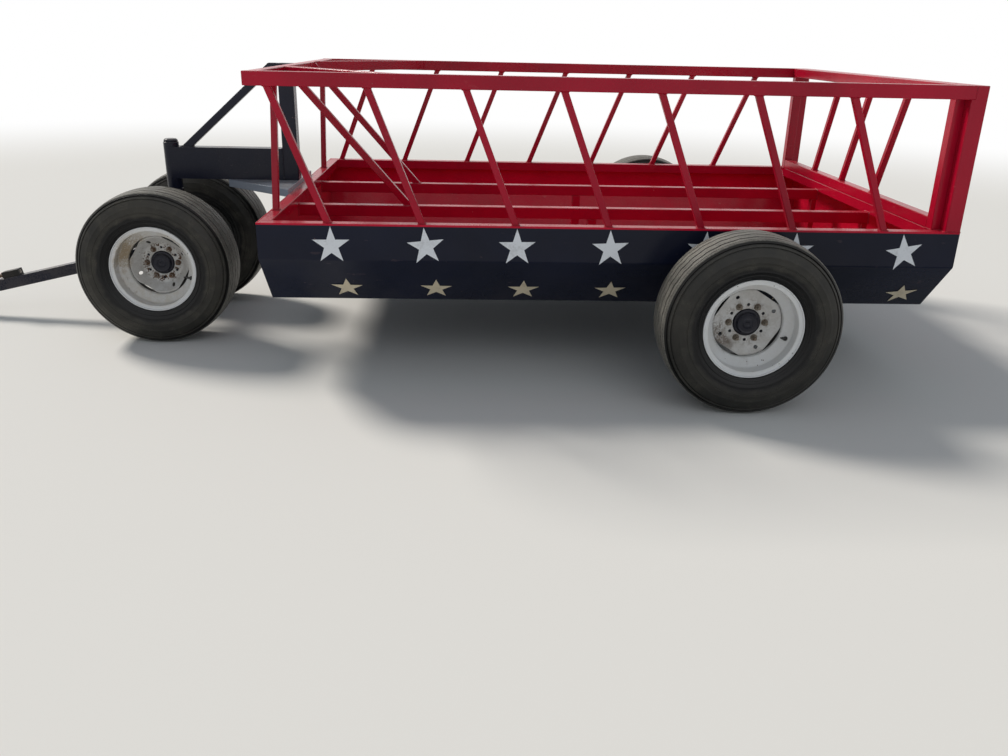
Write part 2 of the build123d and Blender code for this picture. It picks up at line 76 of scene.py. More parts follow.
WHITE: Colour = (1.0, 1.0, 1.0)
X, Y, Z = 0, 1, 2
LOW, HIGH = 0, 1
LAP = 6.28  # a full turn in radians, for random turns
MERGE = 1e-5  # metres within which a CAD mesh's points are joined
SEAM = 1e-6  # metres within which a turned surface's points are joined
FLAT_TURN = 0.5  # degrees below which two CAD faces are one flat
EDGE_TURN, FOLD_TURN, ANY_TURN = 25, 60, 360  # degrees at a sharp edge, a fold and any edge
CORNER_SHARE = 0.45  # the most of a profile's edge that one rounded corner takes


class Slot(Enum):
    """The record's material slots."""

    NAVY = "navy_paint"
    RED = "red_paint"
    STEEL = "steel"
    BLACK = "black_paint"
    TYRE = "tyre_rubber"
    RIM = "white_rims"
    HUB = "hub_paint"


class Corner(Enum):
    """The wheel corners: the name that the nodes spell, and the sign of Y."""

    FRONT_LEFT = ("front_left", 1)
    FRONT_RIGHT = ("front_right", -1)
    REAR_LEFT = ("rear_left", 1)
    REAR_RIGHT = ("rear_right", -1)

    def __init__(self, label: str, side: int) -> None:
        """Keeps the corner's name and its sign of Y."""
        self.label = label
        self.side = side


# Node trees


class Graph:
    """A node tree, with one way to add nodes to it."""

    def __init__(self, tree: NodeTree) -> None:
        """Empties the tree that it writes to."""
        self.tree = tree
        self.tree.nodes.clear()

    def node(
        self, kind: str, *values: object, settings: dict | None = None, output: str = "",
        **named: object,
    ) -> NodeSocket | None:
        """Adds one node.

        Args:
            kind: The node's type.
            *values: Values or links of the input sockets in order.
            settings: Attributes to set before the sockets.
            output: Name of the output to return; the first one if empty.
            **named: Values or links by a socket's name, with underscores for spaces.

        Returns:
            The output, or None if the node has none.
        """
        made = self.tree.nodes.new(kind)
        for key, value in (settings or {}).items():
            setattr(made, key, value)
        live = [socket for socket in made.inputs if socket.enabled]
        for socket, value in zip(live, values):
            self._feed(socket, value)
        for name, value in named.items():
            self._feed(next(s for s in live if s.name == name.replace("_", " ")), value)
        if output:
            return made.outputs[output]
        return next((socket for socket in made.outputs if socket.enabled), None)

    def _feed(self, socket: NodeSocket, value: object) -> None:
        """Links or sets one input socket.

        Args:
            socket: The socket.
            value: A link, a list of links, a plain value, or None to leave it alone.
        """
        if isinstance(value, Value):
            value = value.socket
        if isinstance(value, NodeSocket):
            self.tree.links.new(value, socket)
        elif isinstance(value, list):
            for link in value:
                self._feed(socket, link)
        elif value is not None:
            opaque = socket.type == "RGBA" and len(value) == 3
            socket.default_value = (*value, 1.0) if opaque else value


def maths(operation: str, swapped: bool = False) -> Callable[..., "Value"]:
    """Makes a method of Value that adds one Math node.

    Args:
        operation: The node's operation.
        swapped: Whether the method's argument is the first operand.

    Returns:
        The method.
    """

    def method(self: "Value", *others: "Value | float") -> "Value":
        """Adds the node on this value and the others."""
        operands = (*others, self) if swapped else (self, *others)
        return self.graph.node("ShaderNodeMath", *operands, settings={"operation": operation})

    return method


class Value:
    """A shader socket that takes part in Python arithmetic."""

    def __init__(self, graph: "ShaderGraph", socket: NodeSocket | None) -> None:
        """Wraps one output socket of a tree's node."""
        self.graph = graph
        self.socket = socket

    __add__ = maths("ADD")
    __radd__ = maths("ADD", swapped=True)
    __sub__ = maths("SUBTRACT")
    __rsub__ = maths("SUBTRACT", swapped=True)
    __mul__ = maths("MULTIPLY")
    __rmul__ = maths("MULTIPLY", swapped=True)
    __pow__ = maths("POWER")
    __abs__ = maths("ABSOLUTE")
    at_least = maths("MAXIMUM")
    at_most = maths("MINIMUM")
    sine = maths("SINE")
    cosine = maths("COSINE")
    arctan2 = maths("ARCTAN2")

    def above(self, edge: float, softness: float) -> "Value":
        """Mask that rises smoothly from 0 to 1 around an edge.

        Args:
            edge: Value at which the mask is a half.
            softness: Half of the width over which it rises.

        Returns:
            The mask.
        """
        return self.graph.node(
            "ShaderNodeMapRange", self, edge - softness, edge + softness, 0.0, 1.0,
            settings={"interpolation_type": "SMOOTHSTEP"},
        )

    def below(self, edge: float, softness: float) -> "Value":
        """Mask that falls smoothly from 1 to 0 around an edge."""
        return 1 - self.above(edge, softness)


class ShaderGraph(Graph):
    """A shader tree, with short ways to write its expressions."""

    def node(self, kind: str, *values: object, **named: object) -> Value:
        """Adds one node as Graph.node() does, which describes the values, and wraps its output."""
        return Value(self, super().node(kind, *values, **named))

    def vectors(self, operation: str, first: Value | Point, second: Value | Point) -> Value:
        """Adds a Vector Math node on two vectors."""
        return self.node("ShaderNodeVectorMath", first, second, settings={"operation": operation})

    def split(self, vector: Value) -> tuple[Value, Value, Value]:
        """Components of a vector."""
        parts = self.node("ShaderNodeSeparateXYZ", vector).socket.node.outputs
        return tuple(Value(self, part) for part in parts)

    def seen(self) -> Value:
        """1 for rays from the camera, from gloss and through glass, and 0 for diffuse light.

        Returns:
            The mask.
        """
        camera, gloss, glass = (
            self.node("ShaderNodeLightPath", output=f"Is {kind} Ray")
            for kind in ("Camera", "Glossy", "Transmission")
        )
        return camera.at_least(gloss).at_least(glass)


class Shader(ShaderGraph):
    """A material's node tree, with the coordinates that the finishes read."""

    def __init__(self, name: str) -> None:
        """Starts a material with an empty tree.

        Args:
            name: The material's name.
        """
        self.material = bpy.data.materials.new(name)
        self.material.use_nodes = True
        super().__init__(self.material.node_tree)
        self.place = self.node("ShaderNodeTexCoord", output="Object")
        self.normal = self.node("ShaderNodeNewGeometry", output="Normal")
        self.x, self.y, self.z = self.split(self.place)

    def noise(
        self, scale: float, detail: float = 3.0, place: Value | None = None,
        stretch: Point | None = None,
    ) -> Value:
        """Fractal noise from about 0 to 1.

        Args:
            scale: Features per metre, about.
            detail: Octaves.
            place: Where the noise is read; the object's own coordinates if None.
            stretch: Scale of each axis before the noise is read, if it is stretched.

        Returns:
            The noise.
        """
        where = place or self.place
        if stretch is not None:
            where = self.vectors("MULTIPLY", where, stretch)
        return self.node("ShaderNodeTexNoise", Vector=where, Scale=scale, Detail=detail)

    def cells(self, scale: float) -> Value:
        """Distance to the nearest of scattered points."""
        return self.node("ShaderNodeTexVoronoi", Vector=self.place, Scale=scale)

    def mix(self, mask: Value, first: Value | Colour, second: Value | Colour) -> Value:
        """Colour that goes from first to second as the mask rises."""
        settings = {"data_type": "RGBA", "clamp_factor": True}
        return self.node("ShaderNodeMix", mask, first, second, settings=settings)

    def bump(self, height: Value, distance: float, normal: Value | None = None) -> Value:
        """Normal bent by a height in units of distance, on top of another if one is given."""
        return self.node("ShaderNodeBump", Distance=distance, Height=height, Normal=normal)

    def about(self, centre: Point) -> tuple[Value, Value, Value]:
        """Radius, angle and Y distance about a wheel's axle through a centre."""
        x, y, z = self.split(self.vectors("SUBTRACT", self.place, centre))
        return (x * x + z * z) ** 0.5, z.arctan2(x), y

    def close(self, surface: Value) -> Material:
        """Ends the tree in a surface and returns the finished material."""
        self.node("ShaderNodeOutputMaterial", surface)
        return self.material

    def finish(self, **sockets: object) -> Material:
        """Ends the tree in a Principled shader with the given sockets."""
        return self.close(self.node("ShaderNodeBsdfPrincipled", **sockets))


# Finishes


@dataclass(frozen=True)
class GlossPaint:
    """Gloss farm paint: slow colour drift, dust on what faces up, chips and fine scratches."""

    name: str
    colour: Colour
    deep: Colour
    dust: Colour = (0.24, 0.20, 0.17)
    dust_amount: float = 0.10
    roughness: float = 0.25
    wear: Colour = (0.50, 0.30, 0.28)
    wear_amount: float = 0.20
    specular: float = 0.17
    coat: float = 0.09
    waviness: float = 0.0

    def base(self, shader: Shader) -> Value:
        """The paint's own colour, before dust and wear."""
        drift = shader.noise(2.3, 4.0).above(0.5, 0.28)
        return shader.mix(drift, self.deep, self.colour)

    def material(self) -> Material:
        """Builds the paint.

        Returns:
            The material.
        """
        shader = Shader(self.name)
        colour = self.base(shader)
        grain = shader.noise(160.0, 4.0)
        patches = shader.noise(7.0, 5.0)
        facing_up = shader.split(shader.normal)[Z].above(0.55, 0.4)
        settled = (patches * 0.7 + grain * 0.5).above(0.62, 0.22)
        low = shader.z.below(0.36, 0.24)
        dusty = (facing_up * 0.9 + low * 0.5 + 0.08) * settled * self.dust_amount * 2.0
        colour = shader.mix(dusty.at_most(0.8), colour, self.dust)
        scratch = shader.noise(34.0, 6.0, stretch=(0.35, 0.35, 1.0)).above(0.70, 0.02)
        chips = shader.cells(26.0).below(0.075, 0.012) * shader.noise(5.0, 3.0).above(0.60, 0.03)
        worn = (scratch * (0.2 + facing_up * 0.8) + chips) * self.wear_amount
        colour = shader.mix(worn.at_most(1.0), colour, self.wear)
        peel = shader.noise(230.0, 2.0)
        height = shader.noise(26.0, 2.0) * 0.5 + peel * 0.10 + grain * 0.08 - worn * 0.4
        normal = shader.bump(height, 0.0010)
        if self.waviness:
            normal = shader.bump(shader.noise(2.2, 2.0), self.waviness, normal)
        return shader.finish(
            Base_Color=colour,
            Roughness=self.roughness + dusty * 0.5 + (grain - 0.5) * 0.08 + worn * 0.2,
            Specular_IOR_Level=self.specular,
            Coat_Weight=self.coat * (1 - dusty),
            Coat_Roughness=0.10,
            Normal=normal,
        )


@dataclass(frozen=True)
class TroughPaint(GlossPaint):
    """Trough paint: one colour outside, another on the inner faces and along the top edge."""

    # The inner reds are a lighter copy of the rack's red paint: painted sunlight on the trough's
    # inside.
    inner: Colour = (0.60, 0.0027, 0.0340)
    inner_deep: Colour = (0.45, 0.0022, 0.0255)
    speckle: Colour = (0.60, 0.04, 0.06)
    middle: Point = (0.0, 0.0, 2.0)
    edge_height: float = 0.716

    def base(self, shader: Shader) -> Value:
        """Outer colour, and the inner one where a face looks towards the trough's middle.

        Args:
            shader: The paint's tree.

        Returns:
            The colour.
        """
        outside = super().base(shader)
        speckled = shader.noise(90.0, 5.0).above(0.56, 0.1) * shader.noise(4.0).above(0.45, 0.2)
        drift = shader.noise(3.1, 4.0).above(0.5, 0.25)
        inside = shader.mix(drift, self.inner_deep, self.inner)
        inside = shader.mix(speckled * 0.20, inside, self.speckle)
        inwards = shader.vectors("SUBTRACT", self.middle, shader.place)
        inner = shader.vectors("DOT_PRODUCT", inwards, shader.normal).above(0.0, 0.01)
        edge = shader.z.above(self.edge_height, 0.0008)
        return shader.mix(inner.at_least(edge), outside, inside)


@dataclass(frozen=True)
class StarPaint:
    """Painted star: flat colour with thin spots, brush marks and dust."""

    name: str
    colour: Colour
    grime: Colour

    def material(self) -> Material:
        """Builds the star's paint.

        Returns:
            The material.
        """
        shader = Shader(self.name)
        thin = (shader.noise(18.0, 5.0) * 0.6 + shader.noise(120.0) * 0.4).above(0.60, 0.14)
        brush = shader.noise(70.0, stretch=(0.15, 1.0, 1.0))
        return shader.finish(
            Base_Color=shader.mix(thin * 0.6, self.colour, self.grime),
            Roughness=0.40 + thin * 0.25,
            Specular_IOR_Level=0.3,
            Normal=shader.bump(brush, 0.0005),
        )


@dataclass(frozen=True)
class TyreRubber:
    """Aged tyre: black ring by the rim, dust (partly painted sheen on the front), pale scuffed
    ribs, dark grooves.
    """

    name: str
    centre: Point
    tyre: "Tyre"
    dust_and_sheen: float
    rubber: Colour = (0.0050, 0.0051, 0.0056)
    aged: Colour = (0.0230, 0.0225, 0.0205)
    dust: Colour = (0.190, 0.172, 0.135)
    pale: Colour = (0.310, 0.298, 0.264)
    dark: Colour = (0.004, 0.004, 0.004)
    clean_radius: float = 0.262
    tread_radius: float = 0.350
    groove_edge: float = 0.0030
    rib_band: Pair = (0.237, 0.272)
    ribs: float = 210.0
    rings: float = 2400.0

    def material(self) -> Material:
        """Builds the rubber for a tyre that turns about the Y axis at its centre.

        Returns:
            The material.
        """
        shader = Shader(self.name)
        tyre = self.tyre
        radius, angle, y = shader.about(self.centre)
        patches = shader.noise(5.0, 5.0)
        cloud = shader.noise(16.0, 5.0)
        grain = shader.noise(190.0, 4.0)
        around = shader.node("ShaderNodeCombineXYZ", radius * 6.0, angle.sine(), 0.0)
        sweep = shader.noise(2.2, 4.0, around)
        edge = radius + (cloud - 0.5) * 0.030 + (sweep - 0.5) * 0.020
        outer = edge.above(self.clean_radius, 0.009)
        tread = radius.above(self.tread_radius, 0.008)
        crown = tyre.radius - y * y * ((tyre.radius - tyre.shoulder_radius) / tyre.tread_half**2)
        groove = (crown - radius).above(self.groove_edge, 0.0012) * tread
        colour = shader.mix(outer * (0.40 + patches * 0.6), self.rubber, self.aged)
        film = (patches * 0.45 + cloud * 0.35 + sweep * 0.25).above(0.52, 0.17) * outer
        spatter = (grain * 0.55 + cloud * 0.55).above(0.64, 0.05)
        # Dust film, scaled per axle; the front tyres' larger amount is partly painted sheen.
        film = (film * 0.09 + spatter * outer * 0.07) * self.dust_and_sheen
        colour = shader.mix(film.at_most(0.85), colour, self.dust)
        scuffed = (grain * 0.6 + cloud * 0.25 + patches * 0.15).above(0.48, 0.24)
        scuffed = scuffed * tread * (1 - groove) * 0.72
        colour = shader.mix(scuffed, colour, self.pale)
        band = radius.above(self.rib_band[0], 0.003) * radius.below(self.rib_band[1], 0.003)
        height = grain * 0.5 + (angle * self.ribs).sine() * band * 0.22
        height = height + (radius * self.rings).sine() * 0.07 * (1 - tread) + spatter * 0.25
        return shader.finish(
            Base_Color=shader.mix(groove * 0.95, colour, self.dark),
            Roughness=0.36 + film * 0.5 + scuffed * 0.3 + (grain - 0.5) * 0.14,
            Specular_IOR_Level=0.22,
            Normal=shader.bump(height, 0.0010),
        )


@dataclass(frozen=True)
class RimPaint:
    """White wheel paint: dirt film and painted shade on the disc, well dust, a stain, chips, rust,
    and painted shade at the back.
    """

    name: str
    centre: Point
    side: int
    rim: "Rim"
    axle: "Axle"
    white: Colour = (0.68, 0.69, 0.70)
    cream: Colour = (0.47, 0.41, 0.31)
    # Disc grime: partly dirt, partly painted shade of the disc sunk inside the rim.
    grime: Colour = (0.34, 0.315, 0.28)
    # Painted shade: near-black on all that lies deeper than the disc's outer face, where the inside
    # of the wheel is in shade.
    painted_back_shade: Colour = (0.020, 0.018, 0.016)
    rust: Colour = (0.075, 0.035, 0.018)
    disc_radius: float = 0.146
    well_radius: float = 0.190
    ring_radius: float = 0.081
    disc_depth: float = 0.0060

    def painted_back_shade_mask(self, radius: Value, y: Value) -> Value:
        """Mask of the painted shade: all that lies deeper than the disc's outer face.

        Args:
            radius: Distance from the axle.
            y: Y distance from the wheel's middle.

        Returns:
            The mask.
        """
        rim = self.rim
        face = rim.disc_half - rim.inset
        slope = (rim.crown_height - face) / (rim.crown - rim.flat)
        outer = (radius - rim.flat).at_least(0.0).at_most(rim.crown - rim.flat) * slope + face
        return (y * self.side - outer).below(-self.disc_depth, 0.0008)

    def material(self) -> Material:
        """Builds the paint for a wheel that turns about the Y axis at its centre.

        Returns:
            The material.
        """
        shader = Shader(self.name)
        axle = self.axle
        stain_angle = axle.stain_angle if self.side > 0 else math.pi - axle.stain_angle
        radius, angle, y = shader.about(self.centre)
        patches = shader.noise(9.0, 5.0)
        cloud = shader.noise(38.0, 5.0)
        grain = shader.noise(140.0, 5.0)
        disc = radius.below(self.disc_radius, 0.004)
        well = radius.above(self.disc_radius, 0.004) * radius.below(self.well_radius, 0.008)
        film = (patches * 0.55 + cloud * 0.30 + grain * 0.30).above(0.56, 0.20)
        colour = shader.mix(film * (0.10 + well * 0.55) * axle.dirt, self.white, self.cream)
        # Grime on the whole disc: partly dirt film, partly painted shade of the sunk disc.
        colour = shader.mix((0.30 + film * 0.45) * disc, colour, self.grime)
        sector = ((angle - stain_angle).cosine() + (cloud - 0.5) * 0.35).above(0.84, 0.10)
        spread = abs(radius - axle.stain_radius).below(0.026, 0.016)
        stained = sector * spread * (patches * 0.6 + grain * 0.5).above(0.48, 0.12)
        colour = shader.mix(stained * 0.9, colour, axle.stain)
        chips = shader.cells(48.0).below(0.11, 0.03) * shader.noise(6.0).above(0.56, 0.04)
        streak = shader.noise(30.0, 5.0, stretch=(1.0, 1.0, 0.25)).above(0.67, 0.05)
        streak = streak * patches.above(0.5, 0.08)
        ring = abs(radius - self.ring_radius).below(0.019, 0.006)
        ring = ring * (grain * 0.6 + cloud * 0.5).above(0.60, 0.05) * axle.rust_ring
        rusty = (chips + streak * 0.6 * well * axle.dirt + ring).at_most(1.0)
        colour = shader.mix(rusty, colour, self.rust)
        return shader.finish(
            # Painted shade: all that lies deeper than the disc's outer face goes near-black.
            Base_Color=shader.mix(self.painted_back_shade_mask(radius, y) * 0.97, colour, self.painted_back_shade),
            Roughness=0.36 + film * 0.30 + rusty * 0.3,
            Specular_IOR_Level=0.4,
            Coat_Weight=0.18 * (1 - rusty),
            Coat_Roughness=0.2,
            Normal=shader.bump(grain * 0.3 + patches * 0.4 - rusty * 0.5, 0.0008),
        )


@dataclass(frozen=True)
class BareSteel:
    """Bare or plated metal that has begun to rust."""

    name: str
    steel: Colour = (0.30, 0.285, 0.26)
    rust: Colour = (0.10, 0.052, 0.026)
    rusted: float = 0.5
    metallic: float = 0.85

    def material(self) -> Material:
        """Builds the steel.

        Returns:
            The material.
        """
        shader = Shader(self.name)
        patches = shader.noise(45.0, 5.0)
        grain = shader.noise(420.0, 4.0)
        rusty = (patches * 0.7 + grain * 0.4).above(0.78 - 0.45 * self.rusted, 0.12)
        return shader.finish(
            Base_Color=shader.mix(rusty, self.steel, self.rust),
            Metallic=self.metallic * (1 - rusty),
            Roughness=0.38 + rusty * 0.42 + (grain - 0.5) * 0.15,
            Normal=shader.bump(grain * 0.5 + patches * 0.5, 0.0006),
        )


@dataclass(frozen=True)
class StudioFloor:
    """Plain pale floor that keeps the wagon's shadow and fades into white far away."""

    name: str = "studio_floor"
    colour: Colour = (0.80, 0.79, 0.77)
    drift: Colour = (0.72, 0.71, 0.69)
    fade_start: float = 6.5
    fade_end: float = 13.0

    def material(self) -> Material:
        """Builds the floor.

        Returns:
            The material.
        """
        shader = Shader(self.name)
        floor = shader.node(
            "ShaderNodeBsdfPrincipled",
            Base_Color=shader.mix(shader.noise(0.7, 2.0) * 0.04, self.colour, self.drift),
            Roughness=0.9,
            Specular_IOR_Level=0.1,
        )
        white = shader.node("ShaderNodeEmission", WHITE, 1.0)
        away = (shader.x * shader.x + shader.y * shader.y) ** 0.5
        middle = (self.fade_start + self.fade_end) / 2
        fade = away.above(middle, middle - self.fade_start) * shader.seen()
        return shader.close(shader.node("ShaderNodeMixShader", fade, floor, white))


# Mesh helpers


def add_piece(name: str, mesh: Mesh, material: Material | None) -> Object:
    """Puts a mesh in the scene as an object at the origin.

    Args:
        name: Name of the piece.
        mesh: Its mesh, in the wagon's frame.
        material: The finish of every face, or None to keep the mesh's own.

    Returns:
        The new object.
    """
    if material is not None:
        mesh.materials.clear()
        mesh.materials.append(material)
    piece = bpy.data.objects.new(name, mesh)
    bpy.context.scene.collection.objects.link(piece)
    LOG.info("%s: %d faces", name, len(mesh.polygons))
    return piece


def declare(piece: Object, body: str, slot: Slot, *replaced: str) -> None:
    """Parents a finished piece to the body that it rides on and hides the nodes that it stands for.

    Args:
        piece: The finished piece.
        body: The body that it rides on.
        slot: Its material slot; not used.
        *replaced: The CAD nodes that it stands for.
    """
    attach(piece, body)
    if replaced:
        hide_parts(*replaced)


def node_mesh(node: str) -> BMesh:
    """Merged copy of a CAD node's mesh with its flat faces joined.

    Args:
        node: The node's name.

    Returns:
        The copy.
    """
    mesh = bmesh.new()
    mesh.from_mesh(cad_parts[node].data)
    bmesh.ops.remove_doubles(mesh, verts=mesh.verts, dist=MERGE)
    bmesh.ops.dissolve_limit(
        mesh, angle_limit=math.radians(FLAT_TURN), verts=mesh.verts, edges=mesh.edges
    )
    return mesh


def bevelled(soft: BMesh, turns: Pair, width: float, segments: int) -> list[BMFace]:
    """Rounds the edges of a mesh at which the faces turn by an angle between two limits.

    Args:
        soft: The mesh.
        turns: The two limits in degrees.
        width: Width of the rounding.
        segments: Faces across it.

    Returns:
        The new faces.
    """
    low, high = (math.radians(turn) for turn in turns)
    edges = [e for e in soft.edges if e.is_manifold and low < e.calc_face_angle() < high]
    if not edges:
        return []
    return bmesh.ops.bevel(
        soft, geom=edges, offset=width, segments=segments, profile=0.5, affect="EDGES",
        clamp_overlap=True,
    )["faces"]


def softened(node: str, radius: float, fold: float) -> Mesh:
    """Copy of a CAD node with its sharp edges rounded.

    Args:
        node: The node to copy.
        radius: Width of the rounding at square edges.
        fold: Width of the rounding where a sheet is folded by less than 60 degrees, or 0.

    Returns:
        The rounded mesh, its flats flat and its rounded edges smooth.
    """
    soft = node_mesh(node)
    for face in soft.faces:
        face.smooth = False
    made = bevelled(soft, (EDGE_TURN, FOLD_TURN), fold, segments=5) if fold else []
    least = FOLD_TURN if made else EDGE_TURN
    made += bevelled(soft, (least, ANY_TURN), radius, segments=2)
    for face in made:
        if face.is_valid:
            face.smooth = True
    return to_mesh(soft, node)


def turned(
    profile: Sequence[Pair], steps: int, closed: bool, sway: dict[int, float] | None = None
) -> BMesh:
    """Surface of revolution about the Y axis.

    Args:
        profile: Points of radius and Y, in order along the section.
        steps: Faces round the axis.
        closed: Whether the profile's last point joins its first.
        sway: How far a profile point zigzags along Y, by its place in the profile.

    Returns:
        The surface, with points on the axis merged.
    """
    made = bmesh.new()
    rings = []
    for place, (radius, y) in enumerate(profile):
        swing = (sway or {}).get(place, 0.0)
        ring = []
        for i in range(steps):
            a = 2 * math.pi * i / steps
            away = y + swing * (1 - i // 2 % 2 * 2)
            ring.append(made.verts.new((radius * math.cos(a), away, radius * math.sin(a))))
        rings.append(ring)
    for lower, upper in zip(rings, rings[1:] + (rings[:1] if closed else [])):
        for i in range(steps):
            j = (i + 1) % steps
            made.faces.new((lower[i], lower[j], upper[j], upper[i])).smooth = True
    bmesh.ops.remove_doubles(made, verts=made.verts, dist=SEAM)
    bmesh.ops.recalc_face_normals(made, faces=made.faces)
    return made


def rounded(corners: Sequence[Pair], radius: float, count: int = 3) -> list[Pair]:
    """Profile with its inner corners cut by short curves.

    Args:
        corners: The profile's corner points; the first and last stay as they are.
        radius: Distance from a corner at which its curve starts.
        count: Points of each curve.

    Returns:
        The profile's points.
    """
    out = [corners[0]]
    for before, corner, after in zip(corners, corners[1:], corners[2:]):
        a, b, c = Vector(before), Vector(corner), Vector(after)
        reach = min(radius, (a - b).length * CORNER_SHARE, (c - b).length * CORNER_SHARE)
        start = b + (a - b).normalized() * reach
        end = b + (c - b).normalized() * reach
        for t in (i / (count - 1) for i in range(count)):
            out.append(tuple(start * (1 - t) ** 2 + b * 2 * t * (1 - t) + end * t**2))
    out.append(corners[-1])
    return out


def to_mesh(made: BMesh, name: str, move: Matrix | None = None, sharp: float | None = None) -> Mesh:
    """Writes a bmesh out as a mesh.

    Args:
        made: The bmesh, which is freed.
        name: Name of the mesh.
        move: Where to move it first, if anywhere.
        sharp: Angle in degrees above which an edge stays sharp on a mesh that is else smooth;
            None leaves the shading alone.

    Returns:
        The mesh.
    """
    if move is not None:
        bmesh.ops.transform(made, matrix=move, verts=made.verts)
    if sharp is not None:
        for face in made.faces:
            face.smooth = True
        for edge in made.edges:
            edge.smooth = not (edge.is_manifold and edge.calc_face_angle() > math.radians(sharp))
    mesh = bpy.data.meshes.new(name)
    made.to_mesh(mesh)
    made.free()
    return mesh


def capped(mesh: Mesh) -> Mesh:
    """Closes the open loops of thin plates and turns their faces outwards.

    Args:
        mesh: The plates.

    Returns:
        The same mesh, closed.
    """
    work = bmesh.new()
    work.from_mesh(mesh)
    bmesh.ops.holes_fill(work, edges=[edge for edge in work.edges if edge.is_boundary])
    bmesh.ops.recalc_face_normals(work, faces=work.faces)
    work.to_mesh(mesh)
    work.free()
    return mesh


def plain_mesh(
    name: str, places: Sequence[Point | Vector], edges: Sequence[tuple[int, int]] = (),
    faces: Sequence[tuple[int, ...]] = (),
) -> Mesh:
    """Makes a mesh of points, and of edges and faces between them.

    Args:
        name: Its name.
        places: The points.
        edges: Pairs of points by number.
        faces: Rings of points by number.

    Returns:
        The mesh.
    """
    mesh = bpy.data.meshes.new(name)
    mesh.from_pydata(places, edges, faces)
    return mesh


def evaluated(holder: Object) -> Mesh:
    """Plain mesh of an object with its modifiers applied.

    Args:
        holder: The object.

    Returns:
        The mesh.
    """
    graph = bpy.context.evaluated_depsgraph_get()
    graph.update()
    return bpy.data.meshes.new_from_object(holder.evaluated_get(graph))


def cut(target: Mesh, cutter: Mesh) -> Mesh:
    """Takes one mesh out of another with an exact boolean.

    Args:
        target: The mesh to cut.
        cutter: Closed shapes to take away.

    Returns:
        The cut mesh.
    """
    body = bpy.data.objects.new("cut_target", target)
    tool = bpy.data.objects.new("cut_tool", cutter)
    for thing in (body, tool):
        bpy.context.scene.collection.objects.link(thing)
    modifier = body.modifiers.new("cut", "BOOLEAN")
    modifier.operation = "DIFFERENCE"
    modifier.solver = "EXACT"
    modifier.object = tool
    made = evaluated(body)
    for thing in (body, tool):
        bpy.data.objects.remove(thing)
    return made


class Builder(Graph):
    """A Geometry Nodes tree that is run once and turned into a plain mesh."""

    def __init__(self, name: str) -> None:
        """Starts a tree with one geometry input and output.

        Args:
            name: The tree's name.
        """
        super().__init__(bpy.data.node_groups.new(name, "GeometryNodeTree"))
        for way in ("INPUT", "OUTPUT"):
            self.tree.interface.new_socket("Geometry", in_out=way, socket_type="NodeSocketGeometry")
        self.group = self.tree.nodes.new("NodeGroupInput")
        self.inputs: dict[str, tuple[str, object]] = {}

    def size(self, name: str, value: object, kind: str = "Float") -> NodeSocket:
        """Adds a named input.

        Args:
            name: The input's name.
            value: What it is when run() isn't told.
            kind: Its socket type's last word.

        Returns:
            Its socket inside the tree.
        """
        kind = f"NodeSocket{kind}"
        item = self.tree.interface.new_socket(name, in_out="INPUT", socket_type=kind)
        self.inputs[name] = (item.identifier, value)
        return self.group.outputs[name]

    def scatter(
        self, low: object, high: object, seed: int, kind: str = "FLOAT_VECTOR"
    ) -> NodeSocket:
        """Random value between two limits for each point."""
        settings = {"data_type": kind}
        return self.node("FunctionNodeRandomValue", low, high, settings=settings, Seed=seed)

    def close(self, geometry: NodeSocket, material: NodeSocket) -> None:
        """Ends the tree in Realize Instances and Set Material.

        Args:
            geometry: What the tree has built.
            material: Its finish.
        """
        real = self.node("GeometryNodeRealizeInstances", geometry)
        dressed = self.node("GeometryNodeSetMaterial", real, Material=material)
        self.node("NodeGroupOutput", dressed)

    def run(self, name: str, start: Mesh, **values: object) -> Mesh:
        """Runs the tree on a start mesh.

        Args:
            name: Name of the result.
            start: The mesh that the tree reads.
            **values: Inputs by name; the rest keep their defaults.

        Returns:
            The evaluated result as a plain mesh.
        """
        holder = bpy.data.objects.new(name + "_start", start)
        bpy.context.scene.collection.objects.link(holder)
        modifier = holder.modifiers.new("build", "NODES")
        modifier.node_group = self.tree
        for key, (identifier, default) in self.inputs.items():
            modifier[identifier] = values.get(key, default)
        mesh = evaluated(holder)
        mesh.name = name
        holder.modifiers.remove(modifier)
        bpy.data.objects.remove(holder)
        return mesh


class WeldRun(Builder):
    """Weld bead: overlapping drops along the edges of the start mesh."""

    drop_sizes = (0.75, 1.15)
    size_seed = 7
    turn_seed = 11

    def __init__(self) -> None:
        """Builds the tree with inputs for pitch, width and material."""
        super().__init__("weld_run")
        pitch = self.size("Pitch", 0.0045)
        width = self.size("Width", 0.0042)
        material = self.size("Material", None, "Material")
        curve = self.node("GeometryNodeMeshToCurve", self.group.outputs[0])
        points = self.node(
            "GeometryNodeResampleCurve", curve, settings={"mode": "LENGTH"}, Length=pitch
        )
        beads = self.node(
            "GeometryNodeInstanceOnPoints",
            points,
            Instance=self.node("GeometryNodeMeshIcoSphere", Radius=width, Subdivisions=1),
            Rotation=self.scatter((0.0, 0.0, 0.0), (LAP, LAP, LAP), self.turn_seed),
            Scale=self.scatter(*self.drop_sizes, self.size_seed, "FLOAT"),
        )
        self.close(self.node("GeometryNodeSetShadeSmooth", beads), material)


